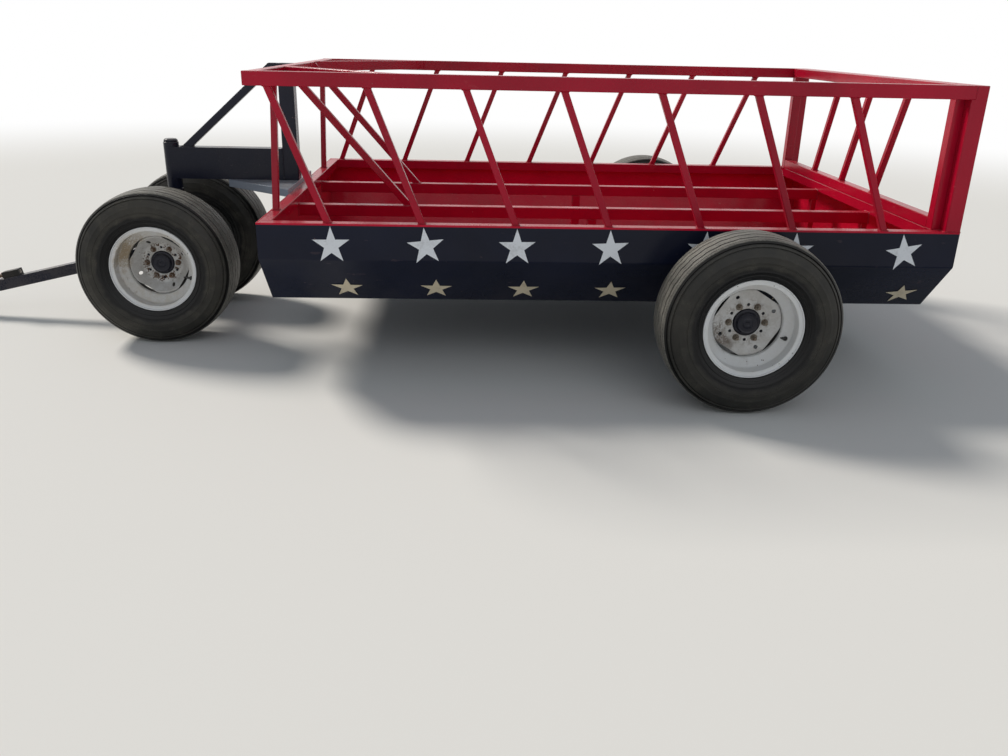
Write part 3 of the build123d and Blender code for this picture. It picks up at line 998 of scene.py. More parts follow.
class StarRow(Builder):
    """Five-pointed stars, each a thin plate standing on a point of the start mesh."""

    def __init__(self) -> None:
        """Builds the tree with inputs for the star's size, thickness, turn and material."""
        super().__init__("star_row")
        outer = self.size("Outer", 0.08)
        inner = self.size("Inner", 0.031)
        thickness = self.size("Thickness", 0.0006)
        turn = self.size("Turn", (0.0, 0.0, 0.0), "Vector")
        material = self.size("Material", None, "Material")
        star = self.node("GeometryNodeCurveStar", Points=5, Inner_Radius=inner, Outer_Radius=outer)
        fill = self.node("GeometryNodeFillCurve", star, settings={"mode": "NGONS"})
        upright = self.node("GeometryNodeTransform", fill, Rotation=(0.0, 0.0, math.pi / 2))
        plate = self.node("GeometryNodeExtrudeMesh", upright, Offset_Scale=thickness)
        start = self.group.outputs[0]
        stars = self.node("GeometryNodeInstanceOnPoints", start, Instance=plate, Rotation=turn)
        settings = {"data_type": "FLOAT"}
        tilt = self.node("GeometryNodeInputNamedAttribute", "tilt", settings=settings)
        lean = self.node("ShaderNodeCombineXYZ", Z=tilt)
        self.close(self.node("GeometryNodeRotateInstances", stars, Rotation=lean), material)


class BoltRing(Builder):
    """Nuts with washers and stud ends round a circle, standing on one point."""

    turn_seed = 3

    def __init__(self) -> None:
        """Builds the tree with inputs for the circle, the nut, the stud and the material."""
        super().__init__("bolt_ring")
        circle = self.size("Circle", 0.0762)
        count = self.size("Count", 6, "Int")
        discs = [
            self.disc("Nut", 6, 0.011, 0.015), self.disc("Washer", 16, 0.0145, 0.0025),
            self.disc("Stud", 12, 0.0065, 0.027),
        ]
        material = self.size("Material", None, "Material")
        nuts = self.node(
            "GeometryNodeInstanceOnPoints",
            self.node("GeometryNodeMeshCircle", Vertices=count, Radius=circle),
            Instance=self.node("GeometryNodeJoinGeometry", discs),
            Rotation=self.scatter((0.0, 0.0, 0.0), (0.0, 0.0, LAP), self.turn_seed),
        )
        self.close(nuts, material)

    def disc(self, name: str, sides: int, radius: float, height: float) -> NodeSocket:
        """Prism that stands on the plane, with inputs for its corner radius and height.

        Args:
            name: First word of the two inputs' names.
            sides: Faces round it.
            radius: Its corner radius.
            height: Its height.

        Returns:
            The prism.
        """
        across = self.size(name + " Radius", radius)
        depth = self.size(name + " Height", height)
        prism = self.node("GeometryNodeMeshCylinder", Vertices=sides, Radius=across, Depth=depth)
        half = self.node("ShaderNodeMath", depth, 0.5, settings={"operation": "MULTIPLY"})
        lift = self.node("ShaderNodeCombineXYZ", Z=half)
        return self.node("GeometryNodeTransform", prism, Translation=lift)


# Sub-assemblies


@dataclass
class Welds:
    """Weld beads where one node's faces meet the next piece."""

    name: str
    body: str
    slot: Slot
    seams: Sequence[Seam]
    width: float = 0.0042
    pitch: float = 0.0048
    touch: float = 0.0004
    flush: float = 0.0005

    def path(self) -> Mesh:
        """Outlines of the faces that lie on each seam's plane, as a mesh of edges.

        Returns:
            The mesh.
        """
        places: list[Point] = []
        edges: list[tuple[int, int]] = []
        for node, axis, level in self.seams:
            work = node_mesh(node)
            for face in work.faces:
                if all(abs(vertex.co[axis] - level) < self.touch for vertex in face.verts):
                    for edge in face.edges:
                        edges.append((len(places), len(places) + 1))
                        places.extend(tuple(vertex.co) for vertex in edge.verts)
            work.free()
        return plain_mesh(self.name + "_path", places, edges)

    def build(self, tree: WeldRun, paint: Material) -> None:
        """Runs the bead tree along the path and keeps the beads inside the CAD model's box.

        Args:
            tree: The bead tree.
            paint: The beads' finish.
        """
        mesh = tree.run(self.name, self.path(), Material=paint, Pitch=self.pitch, Width=self.width)
        for vertex in mesh.vertices:
            vertex.co = [
                min(max(value, low + self.flush), high - self.flush)
                for value, low, high in zip(vertex.co, *CAD_BOX)
            ]
        declare(add_piece(self.name, mesh, None), self.body, self.slot)


@dataclass
class PaintedNodes:
    """Rigid nodes that keep their form, with rounded edges and one finish."""

    finish: str
    body: str
    slot: Slot
    nodes: Sequence[str]
    radius: float = 0.003
    fold: float = 0.0

    def build(self, finishes: dict[str, Material]) -> None:
        """Makes the rounded pieces and dresses them with the group's finish.

        Args:
            finishes: The frame's finishes by name.
        """
        for node in self.nodes:
            mesh = softened(node, self.radius, self.fold)
            piece = add_piece(f"{node}_dressed", mesh, finishes[self.finish])
            declare(piece, self.body, self.slot, node)


@dataclass
class Stars:
    """Two rows of stars on each side of the trough."""

    front_x: float
    half_width: float
    half_floor: float
    floor_z: float
    fold_z: float = 0.570
    upper_from_front: tuple[float, ...] = (0.307, 0.703, 1.088, 1.484, 1.889, 2.278, 2.752)
    lower_from_front: tuple[float, ...] = (0.347, 0.740, 1.127, 1.515, 1.915, 2.310, 2.842)
    upper_tilts: tuple[float, ...] = (0.7, 6.0, 1.0, 2.5, -2.0, 1.5, 10.5)
    lower_tilts: tuple[float, ...] = (-1.5, -1.0, 0.5, 2.0, -1.0, 1.0, 10.0)
    upper_z: float = 0.632
    lower_share: float = 0.31
    upper_radius: float = 0.0815
    lower_radius: float = 0.072
    stand_off: float = 0.0001
    thickness: float = 0.0005
    points_ratio: float = 0.382

    def row(self, side: int, upper: bool) -> tuple[list[Vector], Vector, Vector]:
        """Works out where one row's stars stand.

        Args:
            side: Sign of Y.
            upper: Whether it is the upper row.

        Returns:
            The stars' places, and the panel's outward and upward directions.
        """
        if upper:
            outward = Vector((0, side, 0))
            upward = Vector((0, 0, 1))
            middle = Vector((0, side * self.half_width, self.upper_z))
            along = self.upper_from_front
        else:
            low = Vector((0, side * self.half_floor, self.floor_z))
            high = Vector((0, side * self.half_width, self.fold_z))
            upward = (high - low).normalized()
            outward = Vector((0, side * upward.z, -abs(upward.y)))
            middle = low + (high - low) * self.lower_share
            along = self.lower_from_front
        foot = middle + outward * self.stand_off
        return [foot + Vector((self.front_x - x, 0, 0)) for x in along], outward, upward

    def build(self, white: Material, cream: Material) -> None:
        """Makes the four rows.

        Args:
            white: Paint of the upper rows.
            cream: Paint of the lower rows.
        """
        tree = StarRow()
        for side, hand in ((1, "left"), (-1, "right")):
            for level, tilts, radius, paint in (
                ("upper", self.upper_tilts, self.upper_radius, white),
                ("lower", self.lower_tilts, self.lower_radius, cream),
            ):
                places, outward, upward = self.row(side, level == "upper")
                facing = Matrix((upward.cross(outward), upward, outward)).transposed()
                start = plain_mesh("star_places", places)
                tilt = start.attributes.new("tilt", "FLOAT", "POINT")
                tilt.data.foreach_set("value", np.radians(tilts))
                mesh = tree.run(
                    f"stars_{level}_{hand}",
                    start,
                    Outer=radius,
                    Inner=radius * self.points_ratio,
                    Thickness=self.thickness,
                    Turn=tuple(facing.to_euler("XYZ")),
                    Material=paint,
                )
                declare(add_piece(mesh.name, capped(mesh), None), "wagon", Slot.RIM)


@dataclass
class Tyre:
    """Ribbed road tyre about the Y axis."""

    radius: float
    half_width: float
    shoulder_radius: float = 0.368
    tread_half: float = 0.100
    bulge_radius: float = 0.292
    bead_radius: float = 0.2115
    bead_y: float = 0.1112
    heel_radius: float = 0.1905
    heel_y: float = 0.0985
    groove_places: tuple[float, ...] = (-0.064, -0.022, 0.022, 0.064)
    groove_half: float = 0.0045
    groove_floor: float = 0.62
    groove_depth: float = 0.0100
    groove_sway: float = 0.0022
    edge_place: float = 0.0905
    edge_half: float = 0.0024
    edge_depth: float = 0.0065
    wall_step: float = 0.010
    ramp: float = 0.0013
    land_points: int = 5
    steps: int = 144
    sharp: float = 34.0
    rings: tuple[tuple[float, float, float], ...] = (
        (0.2270, 0.0035, 0.0026), (0.2450, 0.0016, 0.0010), (0.2790, 0.0018, -0.0016),
        (0.3070, 0.0012, 0.0006), (0.3405, 0.0018, -0.0042), (0.3545, 0.0020, -0.0050),
    )

    def bulge(self) -> tuple[Vector, float]:
        """Finds the arc through the bead, the widest point and the shoulder.

        Returns:
            Its centre and radius.
        """
        a = Vector((self.bead_radius, self.bead_y))
        b = Vector((self.bulge_radius, self.half_width))
        c = Vector((self.shoulder_radius, self.tread_half))
        d = 2 * (a.x * (b.y - c.y) + b.x * (c.y - a.y) + c.x * (a.y - b.y))
        aa, bb, cc = (corner.length_squared for corner in (a, b, c))
        centre = Vector((
            (aa * (b.y - c.y) + bb * (c.y - a.y) + cc * (a.y - b.y)) / d,
            (aa * (c.x - b.x) + bb * (a.x - c.x) + cc * (b.x - a.x)) / d,
        ))
        return centre, (a - centre).length

    def sidewall(self) -> list[Pair]:
        """Draws the +Y sidewall from bead to shoulder, with its raised and sunk rings.

        Returns:
            The profile.
        """
        centre, bend = self.bulge()
        reliefs: list[Pair] = []
        start = self.bead_radius
        for middle, half, height in self.rings:
            low, high = middle - half - self.ramp, middle + half + self.ramp
            plain = max(1, round((low - start) / self.wall_step))
            reliefs += [(start + (low - start) * (i + 1) / plain, 0.0) for i in range(plain)]
            reliefs += [(middle - half, height), (middle + half, height), (high, 0.0)]
            start = high
        reliefs.append(((start + self.shoulder_radius) / 2, 0.0))
        profile = [(self.bead_radius, self.bead_y)]
        for radius, relief in reliefs:
            place = Vector((radius, centre.y + math.sqrt(bend**2 - (radius - centre.x) ** 2)))
            profile.append(tuple(place + (place - centre).normalized() * relief))
        profile.append((self.shoulder_radius, self.tread_half))
        return profile

    def crown(self, y: float) -> float:
        """Radius of the tread's crown at y."""
        return self.radius - (self.radius - self.shoulder_radius) * (y / self.tread_half) ** 2

    def land(self, start: float, end: float) -> np.ndarray:
        """Places across one rib, without the first."""
        return np.linspace(start, end, self.land_points)[1:]

    def tread(self) -> list[tuple[float, float, float]]:
        """Draws the tread from the +Y shoulder to the other.

        Returns:
            The profile's points, each with its zigzag.
        """
        grooves = [
            (y, self.groove_half, self.groove_depth, self.groove_sway)
            for y in self.groove_places
        ]
        grooves += [
            (y, self.edge_half, self.edge_depth, 0.0) for y in (self.edge_place, -self.edge_place)
        ]
        profile = []
        previous = self.tread_half
        for y, half, depth, sway in sorted(grooves, reverse=True):
            plain = [(self.crown(v), v, 0.0) for v in self.land(previous, y + half)]
            profile += plain[:-1] + [(*plain[-1][:2], sway)]
            floor = half * self.groove_floor
            profile += [(self.crown(y) - depth, v, sway) for v in (y + floor, y - floor)]
            previous = y - half
            profile.append((self.crown(previous), previous, sway))
        last = self.land(previous, -self.tread_half)[:-1]
        return profile + [(self.crown(v), v, 0.0) for v in last]

    def mesh(self, name: str) -> Mesh:
        """Makes the whole tyre about the origin.

        Args:
            name: The mesh's name.

        Returns:
            The mesh.
        """
        wall = self.sidewall()
        tread = self.tread()
        sway = {len(wall) + i: point[2] for i, point in enumerate(tread) if point[2]}
        far_wall = [(r, -y) for r, y in reversed(wall)]
        bead = [
            (self.bead_radius, -self.heel_y), (self.heel_radius, -self.heel_y),
            (self.heel_radius, self.heel_y), (self.bead_radius, self.heel_y),
        ]
        profile = wall + [(r, y) for r, y, _ in tread] + far_wall + bead
        surface = turned(profile, self.steps, closed=True, sway=sway)
        return to_mesh(surface, name, sharp=self.sharp)


@dataclass
class Rim:
    """Pressed steel wheel about the Y axis: rolled rim, welded disc, flats on its edge, holes."""

    inset: float
    flange: float = 0.208
    bead: float = 0.190
    drop: float = 0.152
    half_width: float = 0.111
    flange_width: float = 0.012
    bead_width: float = 0.046
    drop_half: float = 0.025
    wall: float = 0.005
    gap: float = 0.0003
    bore: float = 0.0588
    flat: float = 0.100
    crown: float = 0.138
    crown_height: float = 0.014
    skirt: float = 0.020
    disc_half: float = 0.004
    disc_wall: float = 0.008
    vent_circle: float = 0.0762
    vent_radius: float = 0.007
    vent_count: int = 6
    outer_circle: float = 0.118
    outer_radius: float = 0.0085
    outer_count: int = 4
    outer_turn: float = 65.0
    edge_flat: float = 0.132
    edge_turn: float = 32.0
    edge_count: int = 4
    steps: int = 96
    barrel_fillet: float = 0.0050
    face_fillet: float = 0.012
    back_fillet: float = 0.008
    hole_sides: int = 24
    sliver: float = 0.00002
    sharp: float = 32.0

    def barrel(self) -> BMesh:
        """Makes the rim's barrel, both flanges included.

        Returns:
            The barrel.
        """
        seat = self.half_width - self.flange_width
        step = seat - self.bead_width
        flange, bead, drop = (r - self.wall for r in (self.flange, self.bead, self.drop))
        outside = [
            (self.drop, 0.0), (self.drop, self.drop_half), (self.bead, step), (self.bead, seat),
            (self.flange, seat), (self.flange, self.half_width), (flange, self.half_width),
            (flange, seat + self.wall), (bead, seat + self.wall), (bead, step),
            (drop, self.drop_half), (drop, 0.0),
        ]
        half = rounded(outside, self.barrel_fillet, 4)
        other = [(r, -y) for r, y in reversed(half)][1:-1]
        return turned(half + other, self.steps, closed=True)

    def disc(self) -> BMesh:
        """Makes the disc before its edge and holes are cut.

        Returns:
            The disc.
        """
        edge = self.drop - self.wall - self.gap
        face, back = self.disc_half - self.inset, -self.disc_half - self.inset
        hem = self.crown_height - self.skirt
        top = [
            (self.bore, face), (self.flat, face), (self.crown, self.crown_height),
            (edge, self.crown_height - self.wall), (edge, hem),
        ]
        under = [
            (edge - self.disc_wall, hem), (self.crown, self.crown_height - self.disc_wall),
            (self.flat + self.disc_half, back), (self.bore, back),
        ]
        profile = rounded(top, self.face_fillet, 6) + rounded(under, self.back_fillet, 5)
        return turned(profile, self.steps, closed=True)

    def cutters(self) -> Mesh:
        """Makes the shapes of the holes and of what the edge's flats take off.

        Returns:
            The closed shapes.
        """
        made = bmesh.new()
        depth = 2 * (self.inset + self.crown_height + self.skirt)
        upright = Matrix.Rotation(math.pi / 2, 4, "X")
        for radius, circle, count, first in (
            (self.vent_radius, self.vent_circle, self.vent_count, 180 / self.vent_count),
            (self.outer_radius, self.outer_circle, self.outer_count, self.outer_turn),
        ):
            for i in range(count):
                a = math.radians(first + 360 * i / count)
                place = Matrix.Translation((circle * math.cos(a), 0.0, circle * math.sin(a)))
                bmesh.ops.create_cone(
                    made, cap_ends=True, segments=self.hole_sides, radius1=radius, radius2=radius,
                    depth=depth, matrix=place @ upright,
                )
        reach = self.drop - self.edge_flat
        place = Matrix.Translation((self.edge_flat + reach / 2, 0.0, 0.0))
        size = Matrix.Diagonal((reach, depth, self.drop, 1.0))
        for i in range(self.edge_count):
            angle = math.radians(self.edge_turn + 360 * i / self.edge_count)
            turn = Matrix.Rotation(-angle, 4, "Y")
            bmesh.ops.create_cube(made, size=1.0, matrix=turn @ place @ size)
        return to_mesh(made, "wheel_cutters")

    def mesh(self, name: str) -> Mesh:
        """Makes the whole wheel about the origin, its outer face towards +Y.

        Args:
            name: The mesh's name.

        Returns:
            The mesh.
        """
        disc = cut(to_mesh(self.disc(), "disc"), self.cutters())
        joined = self.barrel()
        joined.from_mesh(disc)
        bmesh.ops.remove_doubles(joined, verts=joined.verts, dist=self.sliver)
        bmesh.ops.dissolve_degenerate(joined, dist=self.sliver, edges=joined.edges)
        return to_mesh(joined, name, sharp=self.sharp)


@dataclass
class Hub:
    """Hub with its flange, barrel and ringed dust cap, about the Y axis."""

    inset: float
    barrel: float = 0.056
    flange: float = 0.092
    flange_thickness: float = 0.012
    seat: float = 0.004
    back: float = 0.066
    front: float = 0.012
    bore: float = 0.02605
    cap: float = 0.046
    cap_height: float = 0.014
    fillet: float = 0.0016
    steps: int = 72
    sharp: float = 30.0

    def mesh(self, name: str) -> Mesh:
        """Makes the hub about the origin, its cap towards +Y.

        Args:
            name: The mesh's name.

        Returns:
            The mesh.
        """
        barrel, front, cap = self.barrel, self.front, self.cap
        top = front + self.cap_height
        rear = -self.seat - self.flange_thickness
        outline = [
            (self.bore, -self.back), (barrel, -self.back), (barrel, rear), (self.flange, rear),
            (self.flange, -self.seat), (barrel, -self.seat), (barrel, front - 0.002),
            (barrel - 0.0025, front), (cap + 0.0010, front), (cap + 0.0008, front + 0.004),
            (cap - 0.0015, front + 0.0055), (cap - 0.0020, top - 0.0035),
            (cap - 0.0050, top - 0.0005), (cap - 0.0090, top - 0.0030),
            (cap * 0.46, top - 0.0030), (cap * 0.42, top - 0.0005), (cap * 0.34, top),
            (cap * 0.18, top), (cap * 0.14, top - 0.0020), (0.0, top - 0.0020),
        ]
        profile = rounded(outline, self.fillet) + [(0.0, front), (self.bore, front)]
        move = Matrix.Translation((0.0, -self.inset, 0.0))
        return to_mesh(turned(profile, self.steps, closed=True), name, move, self.sharp)


@dataclass
class Valve:
    """Rubber valve stem in the wheel's drop, about its own Y axis before it is placed."""

    length: float = 0.036
    radius: float = 0.0056
    circle: float = 0.1680
    y: float = 0.0430
    turn: float = 200.0
    lean: float = 54.0
    steps: int = 16

    def mesh(self, name: str, move: Matrix) -> Mesh:
        """Makes the stem in its wheel's drop.

        Args:
            name: The mesh's name.
            move: Where the wheel goes from the origin.

        Returns:
            The mesh.
        """
        r, n = self.radius, self.length
        outline = [
            (0.0, -0.002), (r * 1.8, -0.002), (r * 1.7, 0.003), (r, 0.007), (r * 0.9, n * 0.62),
            (r * 0.62, n * 0.64), (r * 0.62, n * 0.96), (r * 0.5, n), (0.0, n),
        ]
        made = turned(outline, self.steps, closed=False)
        angle = math.radians(self.turn)
        foot = (self.circle * math.cos(angle), self.y, self.circle * math.sin(angle))
        lean = Matrix.Rotation(math.radians(self.lean), 4, "Z")
        aim = Matrix.Translation(foot) @ (Matrix.Rotation(-angle, 4, "Y") @ lean)
        bmesh.ops.transform(made, matrix=aim, verts=made.verts)
        return to_mesh(made, name, move)


@dataclass
class Axle:
    """What the two wheels of one axle share, with the wear of their paint."""

    corners: tuple[Corner, Corner]
    inset: float
    dust_and_sheen: float
    dirt: float
    stain: Colour
    stain_angle: float
    stain_radius: float
    rust_ring: float
    nut_colour: Colour
    nut_rust: float


@dataclass
class Wheels:
    """The four wheels: each has a tyre, a rim with its valve, and a hub with nuts."""

    tyre: Tyre
    axles: Sequence[Axle]

    def build(self) -> None:
        """Makes and dresses every wheel."""
        bolts = BoltRing()
        tyre_mesh = self.tyre.mesh("tyre")
        hub_paint = GlossPaint(
            "hub_navy", (0.0075, 0.0090, 0.020), (0.004, 0.005, 0.011),
            roughness=0.36, specular=0.22, coat=0.08,
        ).material()
        stem_rubber = BareSteel(
            "valve_rubber", (0.012, 0.012, 0.012), (0.02, 0.018, 0.015), 0.3, 0.0
        ).material()
        for axle in self.axles:
            rim, hub = Rim(axle.inset), Hub(axle.inset)
            meshes = {"tyre": tyre_mesh, "wheel": rim.mesh("wheel"), "hub": hub.mesh("hub")}
            nut_steel = BareSteel(
                f"nuts_{axle.corners[0].label}_steel", axle.nut_colour,
                rusted=axle.nut_rust, metallic=0.4,
            ).material()
            seat = Matrix.Translation((0, hub.seat - axle.inset, 0))
            seat = seat @ Matrix.Rotation(-math.pi / 2, 4, "X")
            for corner in axle.corners:
                move = self.corner(corner, axle, rim, meshes, hub_paint)
                body = f"{corner.label}_wheel"
                start = plain_mesh("nut_start", [(0, 0, 0)])
                nuts = bolts.run(f"nuts_{corner.label}", start, Material=nut_steel)
                nuts.transform(move @ seat)
                declare(add_piece(nuts.name, nuts, None), body, Slot.STEEL)
                stem = Valve().mesh(f"valve_{corner.label}", move)
                declare(add_piece(stem.name, stem, stem_rubber), body, Slot.TYRE)

    def corner(
        self, corner: Corner, axle: Axle, rim: Rim, meshes: dict[str, Mesh],
        hub_paint: Material,
    ) -> Matrix:
        """Places and dresses one corner's tyre, rim and hub.

        Args:
            corner: The corner.
            axle: Its axle, for the wear.
            rim: The rim's sizes.
            meshes: The tyre, wheel and hub about the origin, by the start of their nodes' names.
            hub_paint: The hub's finish.

        Returns:
            The move from the origin to the corner.
        """
        low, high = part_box(f"tyre_{corner.label}")
        centre = (low + high) / 2
        turn = Matrix.Rotation(0.0 if corner.side > 0 else math.pi, 4, "Z")
        move = Matrix.Translation(centre) @ turn
        place = tuple(centre)
        rubber = TyreRubber(f"rubber_{corner.label}", place, self.tyre, axle.dust_and_sheen)
        white = RimPaint(f"rim_paint_{corner.label}", place, corner.side, rim, axle)
        for kind, finish, slot in (
            ("tyre", rubber.material(), Slot.TYRE),
            ("wheel", white.material(), Slot.RIM),
            ("hub", hub_paint, Slot.HUB),
        ):
            mesh = meshes[kind].copy()
            mesh.transform(move)
            node = f"{kind}_{corner.label}"
            piece = add_piece(f"{node}_dressed", mesh, finish)
            declare(piece, f"{corner.label}_wheel", slot, node)
        return move


@dataclass(frozen=True)
class Lamp:
    """Soft sun that shines from a place towards the origin; its width in the sky in degrees."""

    name: str
    place: Point
    strength: float
    width: float
    tint: Colour

    def build(self) -> None:
        """Adds the lamp to the scene."""
        data = bpy.data.lights.new(self.name, "SUN")
        data.energy = self.strength
        data.angle = math.radians(self.width)
        data.color = self.tint
        lamp = bpy.data.objects.new(self.name, data)
        lamp.location = self.place
        lamp.rotation_euler = Vector(self.place).to_track_quat("Z", "Y").to_euler()
        bpy.context.scene.collection.objects.link(lamp)


@dataclass
class Studio:
    """Pale floor, soft suns, world and the photograph's camera."""

    front_x: float
    half_width: float
    camera_back: float = 0.892
    camera_out: float = 3.669
    camera_height: float = 1.461
    yaw: float = math.radians(2.379)
    pitch: float = math.radians(21.116)
    roll: float = math.radians(1.277)
    lens: float = 31.5
    sensor: float = 36.0
    far: float = 200.0
    floor_half: float = 40.0
    sky_tint: Colour = (0.84, 0.92, 1.0)
    sky_strength: float = 0.30
    lamps: tuple[Lamp, ...] = (
        Lamp("key", (5.0, -4.0, 5.4), strength=2.90, width=16.0, tint=(1.0, 0.95, 0.87)),
        Lamp("fill", (-2.0, 8.0, 5.0), strength=0.34, width=60.0, tint=(0.92, 0.96, 1.0)),
    )

    def floor(self) -> None:
        """Makes the floor and marks it as the stage."""
        h = self.floor_half
        corners = [(-h, -h, 0), (h, -h, 0), (h, h, 0), (-h, h, 0)]
        mesh = plain_mesh("studio_floor", corners, faces=[(0, 1, 2, 3)])
        add_piece("studio_floor", mesh, StudioFloor().material())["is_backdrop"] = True

    def world(self) -> None:
        """Pale sky light, which shows white to the camera, in gloss and through glass."""
        world = bpy.data.worlds.new("studio")
        bpy.context.scene.world = world
        world.use_nodes = True
        sky = ShaderGraph(world.node_tree)
        light = sky.node("ShaderNodeBackground", self.sky_tint, self.sky_strength)
        white = sky.node("ShaderNodeBackground", WHITE, 1.0)
        both = sky.node("ShaderNodeMixShader", sky.seen(), light, white)
        sky.node("ShaderNodeOutputWorld", both)

    def camera(self) -> None:
        """Places the camera at the photograph's viewpoint."""
        data = bpy.data.cameras.new("photo_camera")
        data.lens = self.lens
        data.sensor_width = self.sensor
        data.clip_end = self.far
        camera = bpy.data.objects.new("photo_camera", data)
        turns = ((math.pi - self.yaw, "Z"), (math.pi / 2 - self.pitch, "X"), (self.roll, "Z"))
        out = self.half_width + self.camera_out
        pose = Matrix.Translation((self.front_x - self.camera_back, out, self.camera_height))
        for angle, axis in turns:
            pose = pose @ Matrix.Rotation(angle, 4, axis)
        camera.matrix_world = pose
        bpy.context.scene.collection.objects.link(camera)
        bpy.context.scene.camera = camera

    def build(self) -> None:
        """Makes the stage, the light and the camera."""
        self.floor()
        for lamp in self.lamps:
            lamp.build()
        self.world()
        self.camera()
        bpy.context.scene.view_settings.view_transform = "Standard"


WAGON_RED = (
    "side_rim_tubes", "end_rim_tubes", "side_top_rails", "end_top_rails", "rack_bars_left",
    "rack_bars_right", "corner_posts", "end_frame_posts", "end_frame_rails", "end_bars",
    "front_bars", "bale_runners", "runner_legs", "rack_braces", "rack_stays",
)
WAGON_NAVY = (
    "neck_upright", "neck_beam", "neck_brace", "pivot_tube", "rear_axle_beam",
    "rear_axle_risers", "axle_saddles",
)
TRUCK_NAVY = ("kingpin", "pivot_cap", "front_axle_beam", "tongue_ears")
GROUPS = (
    PaintedNodes("trough", "wagon", Slot.NAVY, ("side_panels", "end_walls"), 0.0012, 0.006),
    PaintedNodes("trough", "wagon", Slot.RED, ("floor_sheet",), 0.0012),
    PaintedNodes("red", "wagon", Slot.RED, WAGON_RED),
    PaintedNodes("navy", "wagon", Slot.NAVY, WAGON_NAVY),
    PaintedNodes("gusset", "wagon", Slot.NAVY, ("neck_gusset",), 0.002),
    PaintedNodes("navy", "front_truck", Slot.NAVY, TRUCK_NAVY),
    PaintedNodes("navy", "tongue", Slot.NAVY, ("tongue_tube",)),
    PaintedNodes("black", "tongue", Slot.BLACK, ("hitch_plates", "pin_keeper"), 0.002),
    PaintedNodes("steel", "tongue", Slot.STEEL, ("hitch_pin",), 0.0015),
    PaintedNodes("steel", "front_truck", Slot.STEEL, ("hinge_pin", "front_spindles"), 0.0015),
    PaintedNodes("steel", "wagon", Slot.STEEL, ("rear_spindles",), 0.0015),
)
# The front tyres' higher dust amount is partly real dust and partly painted sheen of sun glare on
# the rubber.
FRONT = Axle(
    (Corner.FRONT_LEFT, Corner.FRONT_RIGHT), inset=0.046, dust_and_sheen=1.6, dirt=1.0,
    stain=(0.30, 0.225, 0.135), stain_angle=math.radians(30), stain_radius=0.165,
    rust_ring=1.0, nut_colour=(0.34, 0.32, 0.29), nut_rust=0.70,
)
REAR = Axle(
    (Corner.REAR_LEFT, Corner.REAR_RIGHT), inset=0.0, dust_and_sheen=1.0, dirt=0.35,
    stain=(0.085, 0.058, 0.038), stain_angle=math.radians(-26), stain_radius=0.122,
    rust_ring=0.25, nut_colour=(0.15, 0.13, 0.105), nut_rust=0.30,
)
EDGE_BAND = 0.008  # red band at the trough's top edge, below the rim tubes' top
PANEL_FOOT = 0.0068  # from the floor sheet's edge to the foot of the side panel's outer face
TYRE_GAP = 0.0003  # how far the tyre's widest point stays inside the CAD tyre


def frame_finishes() -> dict[str, Material]:
    """Makes the finishes of the nodes that keep their form.

    Returns:
        The materials by the names that the groups use.
    """
    panel_low, panel_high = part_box("side_panels")
    paints = {
        # Rack red is a darker copy of the trough's inner red: painted shade on the rack.
        "red": GlossPaint("rack_red", (0.46, 0.0021, 0.0270), (0.31, 0.0014, 0.0180)),
        "navy": GlossPaint(
            "neck_navy", (0.0090, 0.0120, 0.0290), (0.0058, 0.0078, 0.0185), dust_amount=0.18
        ),
        # Painted reflection: the navy gusset is coloured grey-blue for the sky mirrored in its
        # gloss, with dust on top.
        "gusset": GlossPaint(
            "gusset_grey", (0.30, 0.34, 0.41), (0.14, 0.17, 0.22), dust_amount=0.3
        ),
        "trough": TroughPaint(
            "trough_paint", (0.0088, 0.0120, 0.0300), (0.0058, 0.0080, 0.0195),
            dust_amount=0.08, roughness=0.18, specular=0.14, coat=0.05, waviness=0.004,
            middle=((panel_low.x + panel_high.x) / 2, 0.0, 2.0),
            edge_height=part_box("side_rim_tubes")[HIGH].z - EDGE_BAND,
        ),
        "black": GlossPaint(
            "hitch_black", (0.010, 0.010, 0.010), (0.006, 0.006, 0.006), roughness=0.5
        ),
        "steel": BareSteel("bright_steel"),
    }
    return {name: paint.material() for name, paint in paints.items()}


def ends(node: str, axis: int, *which: int) -> list[Seam]:
    """Seams on a node at its LOW or HIGH end along an axis, or at both."""
    return [(node, axis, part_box(node)[end][axis]) for end in which or (LOW, HIGH)]


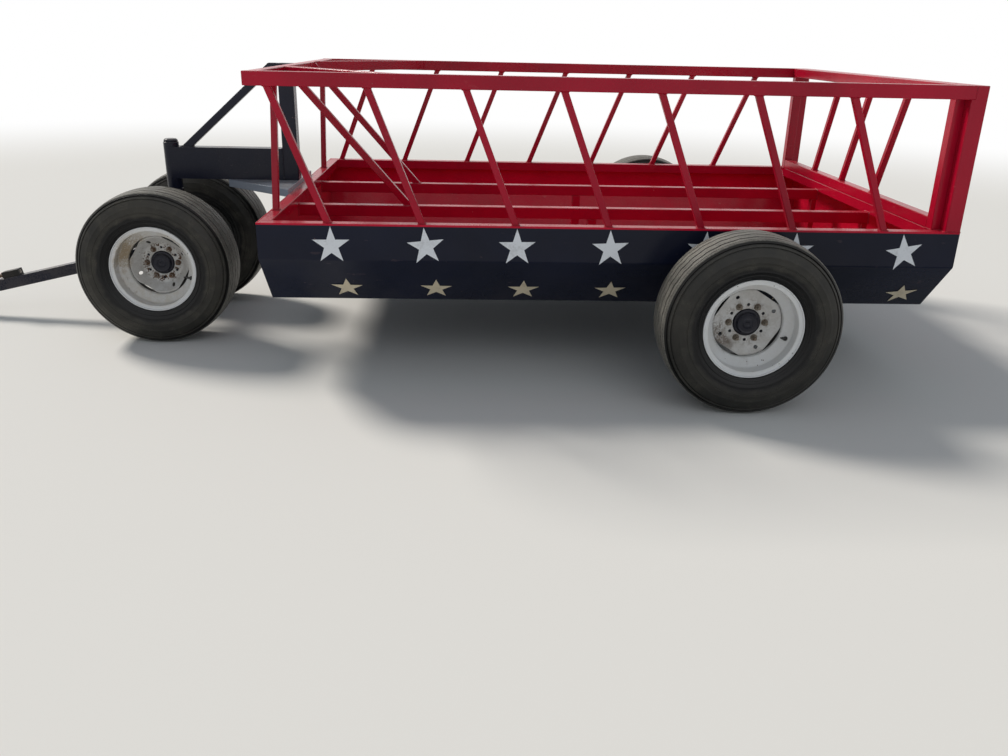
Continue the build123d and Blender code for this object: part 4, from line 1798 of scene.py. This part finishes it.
def build_welds(finishes: dict[str, Material]) -> None:
    """Lays the weld beads of the rack, of the wagon's frame and of the front truck.

    Args:
        finishes: The frame's finishes by name.
    """

    def top(node: str, other: str) -> Seam:
        """Seam on a node where it stands on the top of another."""
        return node, Z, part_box(other)[HIGH].z

    rail_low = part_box("side_top_rails")[LOW].z
    rack = []
    for bars in ("rack_bars_left", "rack_bars_right", "front_bars"):
        rack += [top(bars, "side_rim_tubes"), (bars, Z, rail_low)]
    rack += [top(posts, "side_rim_tubes") for posts in ("corner_posts", "end_frame_posts")]
    rack += [top("runner_legs", "floor_sheet"), *ends("end_bars", Z)]
    rack += [top("rack_braces", "bale_runners"), *ends("rack_braces", X, HIGH)]
    rack += ends("rack_stays", X, HIGH) + ends("rack_stays", Y) + ends("bale_runners", X)
    neck = [*ends("neck_beam", X, LOW), top("neck_brace", "neck_beam")]
    neck += ends("neck_brace", X, LOW) + ends("axle_saddles", Z) + ends("rear_axle_beam", Y)
    truck = [*ends("tongue_ears", X, LOW), top("kingpin", "front_axle_beam")]

    tree = WeldRun()
    heavy = {"width": 0.005, "pitch": 0.0055}
    Welds("rack_welds", "wagon", Slot.RED, rack).build(tree, finishes["red"])
    Welds("frame_welds", "wagon", Slot.NAVY, neck, **heavy).build(tree, finishes["navy"])
    Welds("truck_welds", "front_truck", Slot.NAVY, truck, **heavy).build(tree, finishes["navy"])


def main() -> None:
    """Builds the sub-assemblies in order."""
    logging.basicConfig(level=logging.INFO, format="%(name)s %(message)s")
    finishes = frame_finishes()
    for group in GROUPS:
        group.build(finishes)
    build_welds(finishes)

    panel_low, panel_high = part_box("side_panels")
    half_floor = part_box("floor_sheet")[HIGH].y + PANEL_FOOT
    white = StarPaint("star_white", (0.76, 0.79, 0.84), (0.45, 0.46, 0.48)).material()
    cream = StarPaint("star_cream", (0.66, 0.58, 0.43), (0.34, 0.29, 0.21)).material()
    Stars(panel_high.x, panel_high.y, half_floor, panel_low.z).build(white, cream)

    low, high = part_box("tyre_front_left")
    tyre = Tyre(radius=(high.z - low.z) / 2, half_width=(high.y - low.y) / 2 - TYRE_GAP)
    Wheels(tyre, (FRONT, REAR)).build()

    Studio(panel_high.x, panel_high.y).build()


if __name__ == "__main__":
    main()
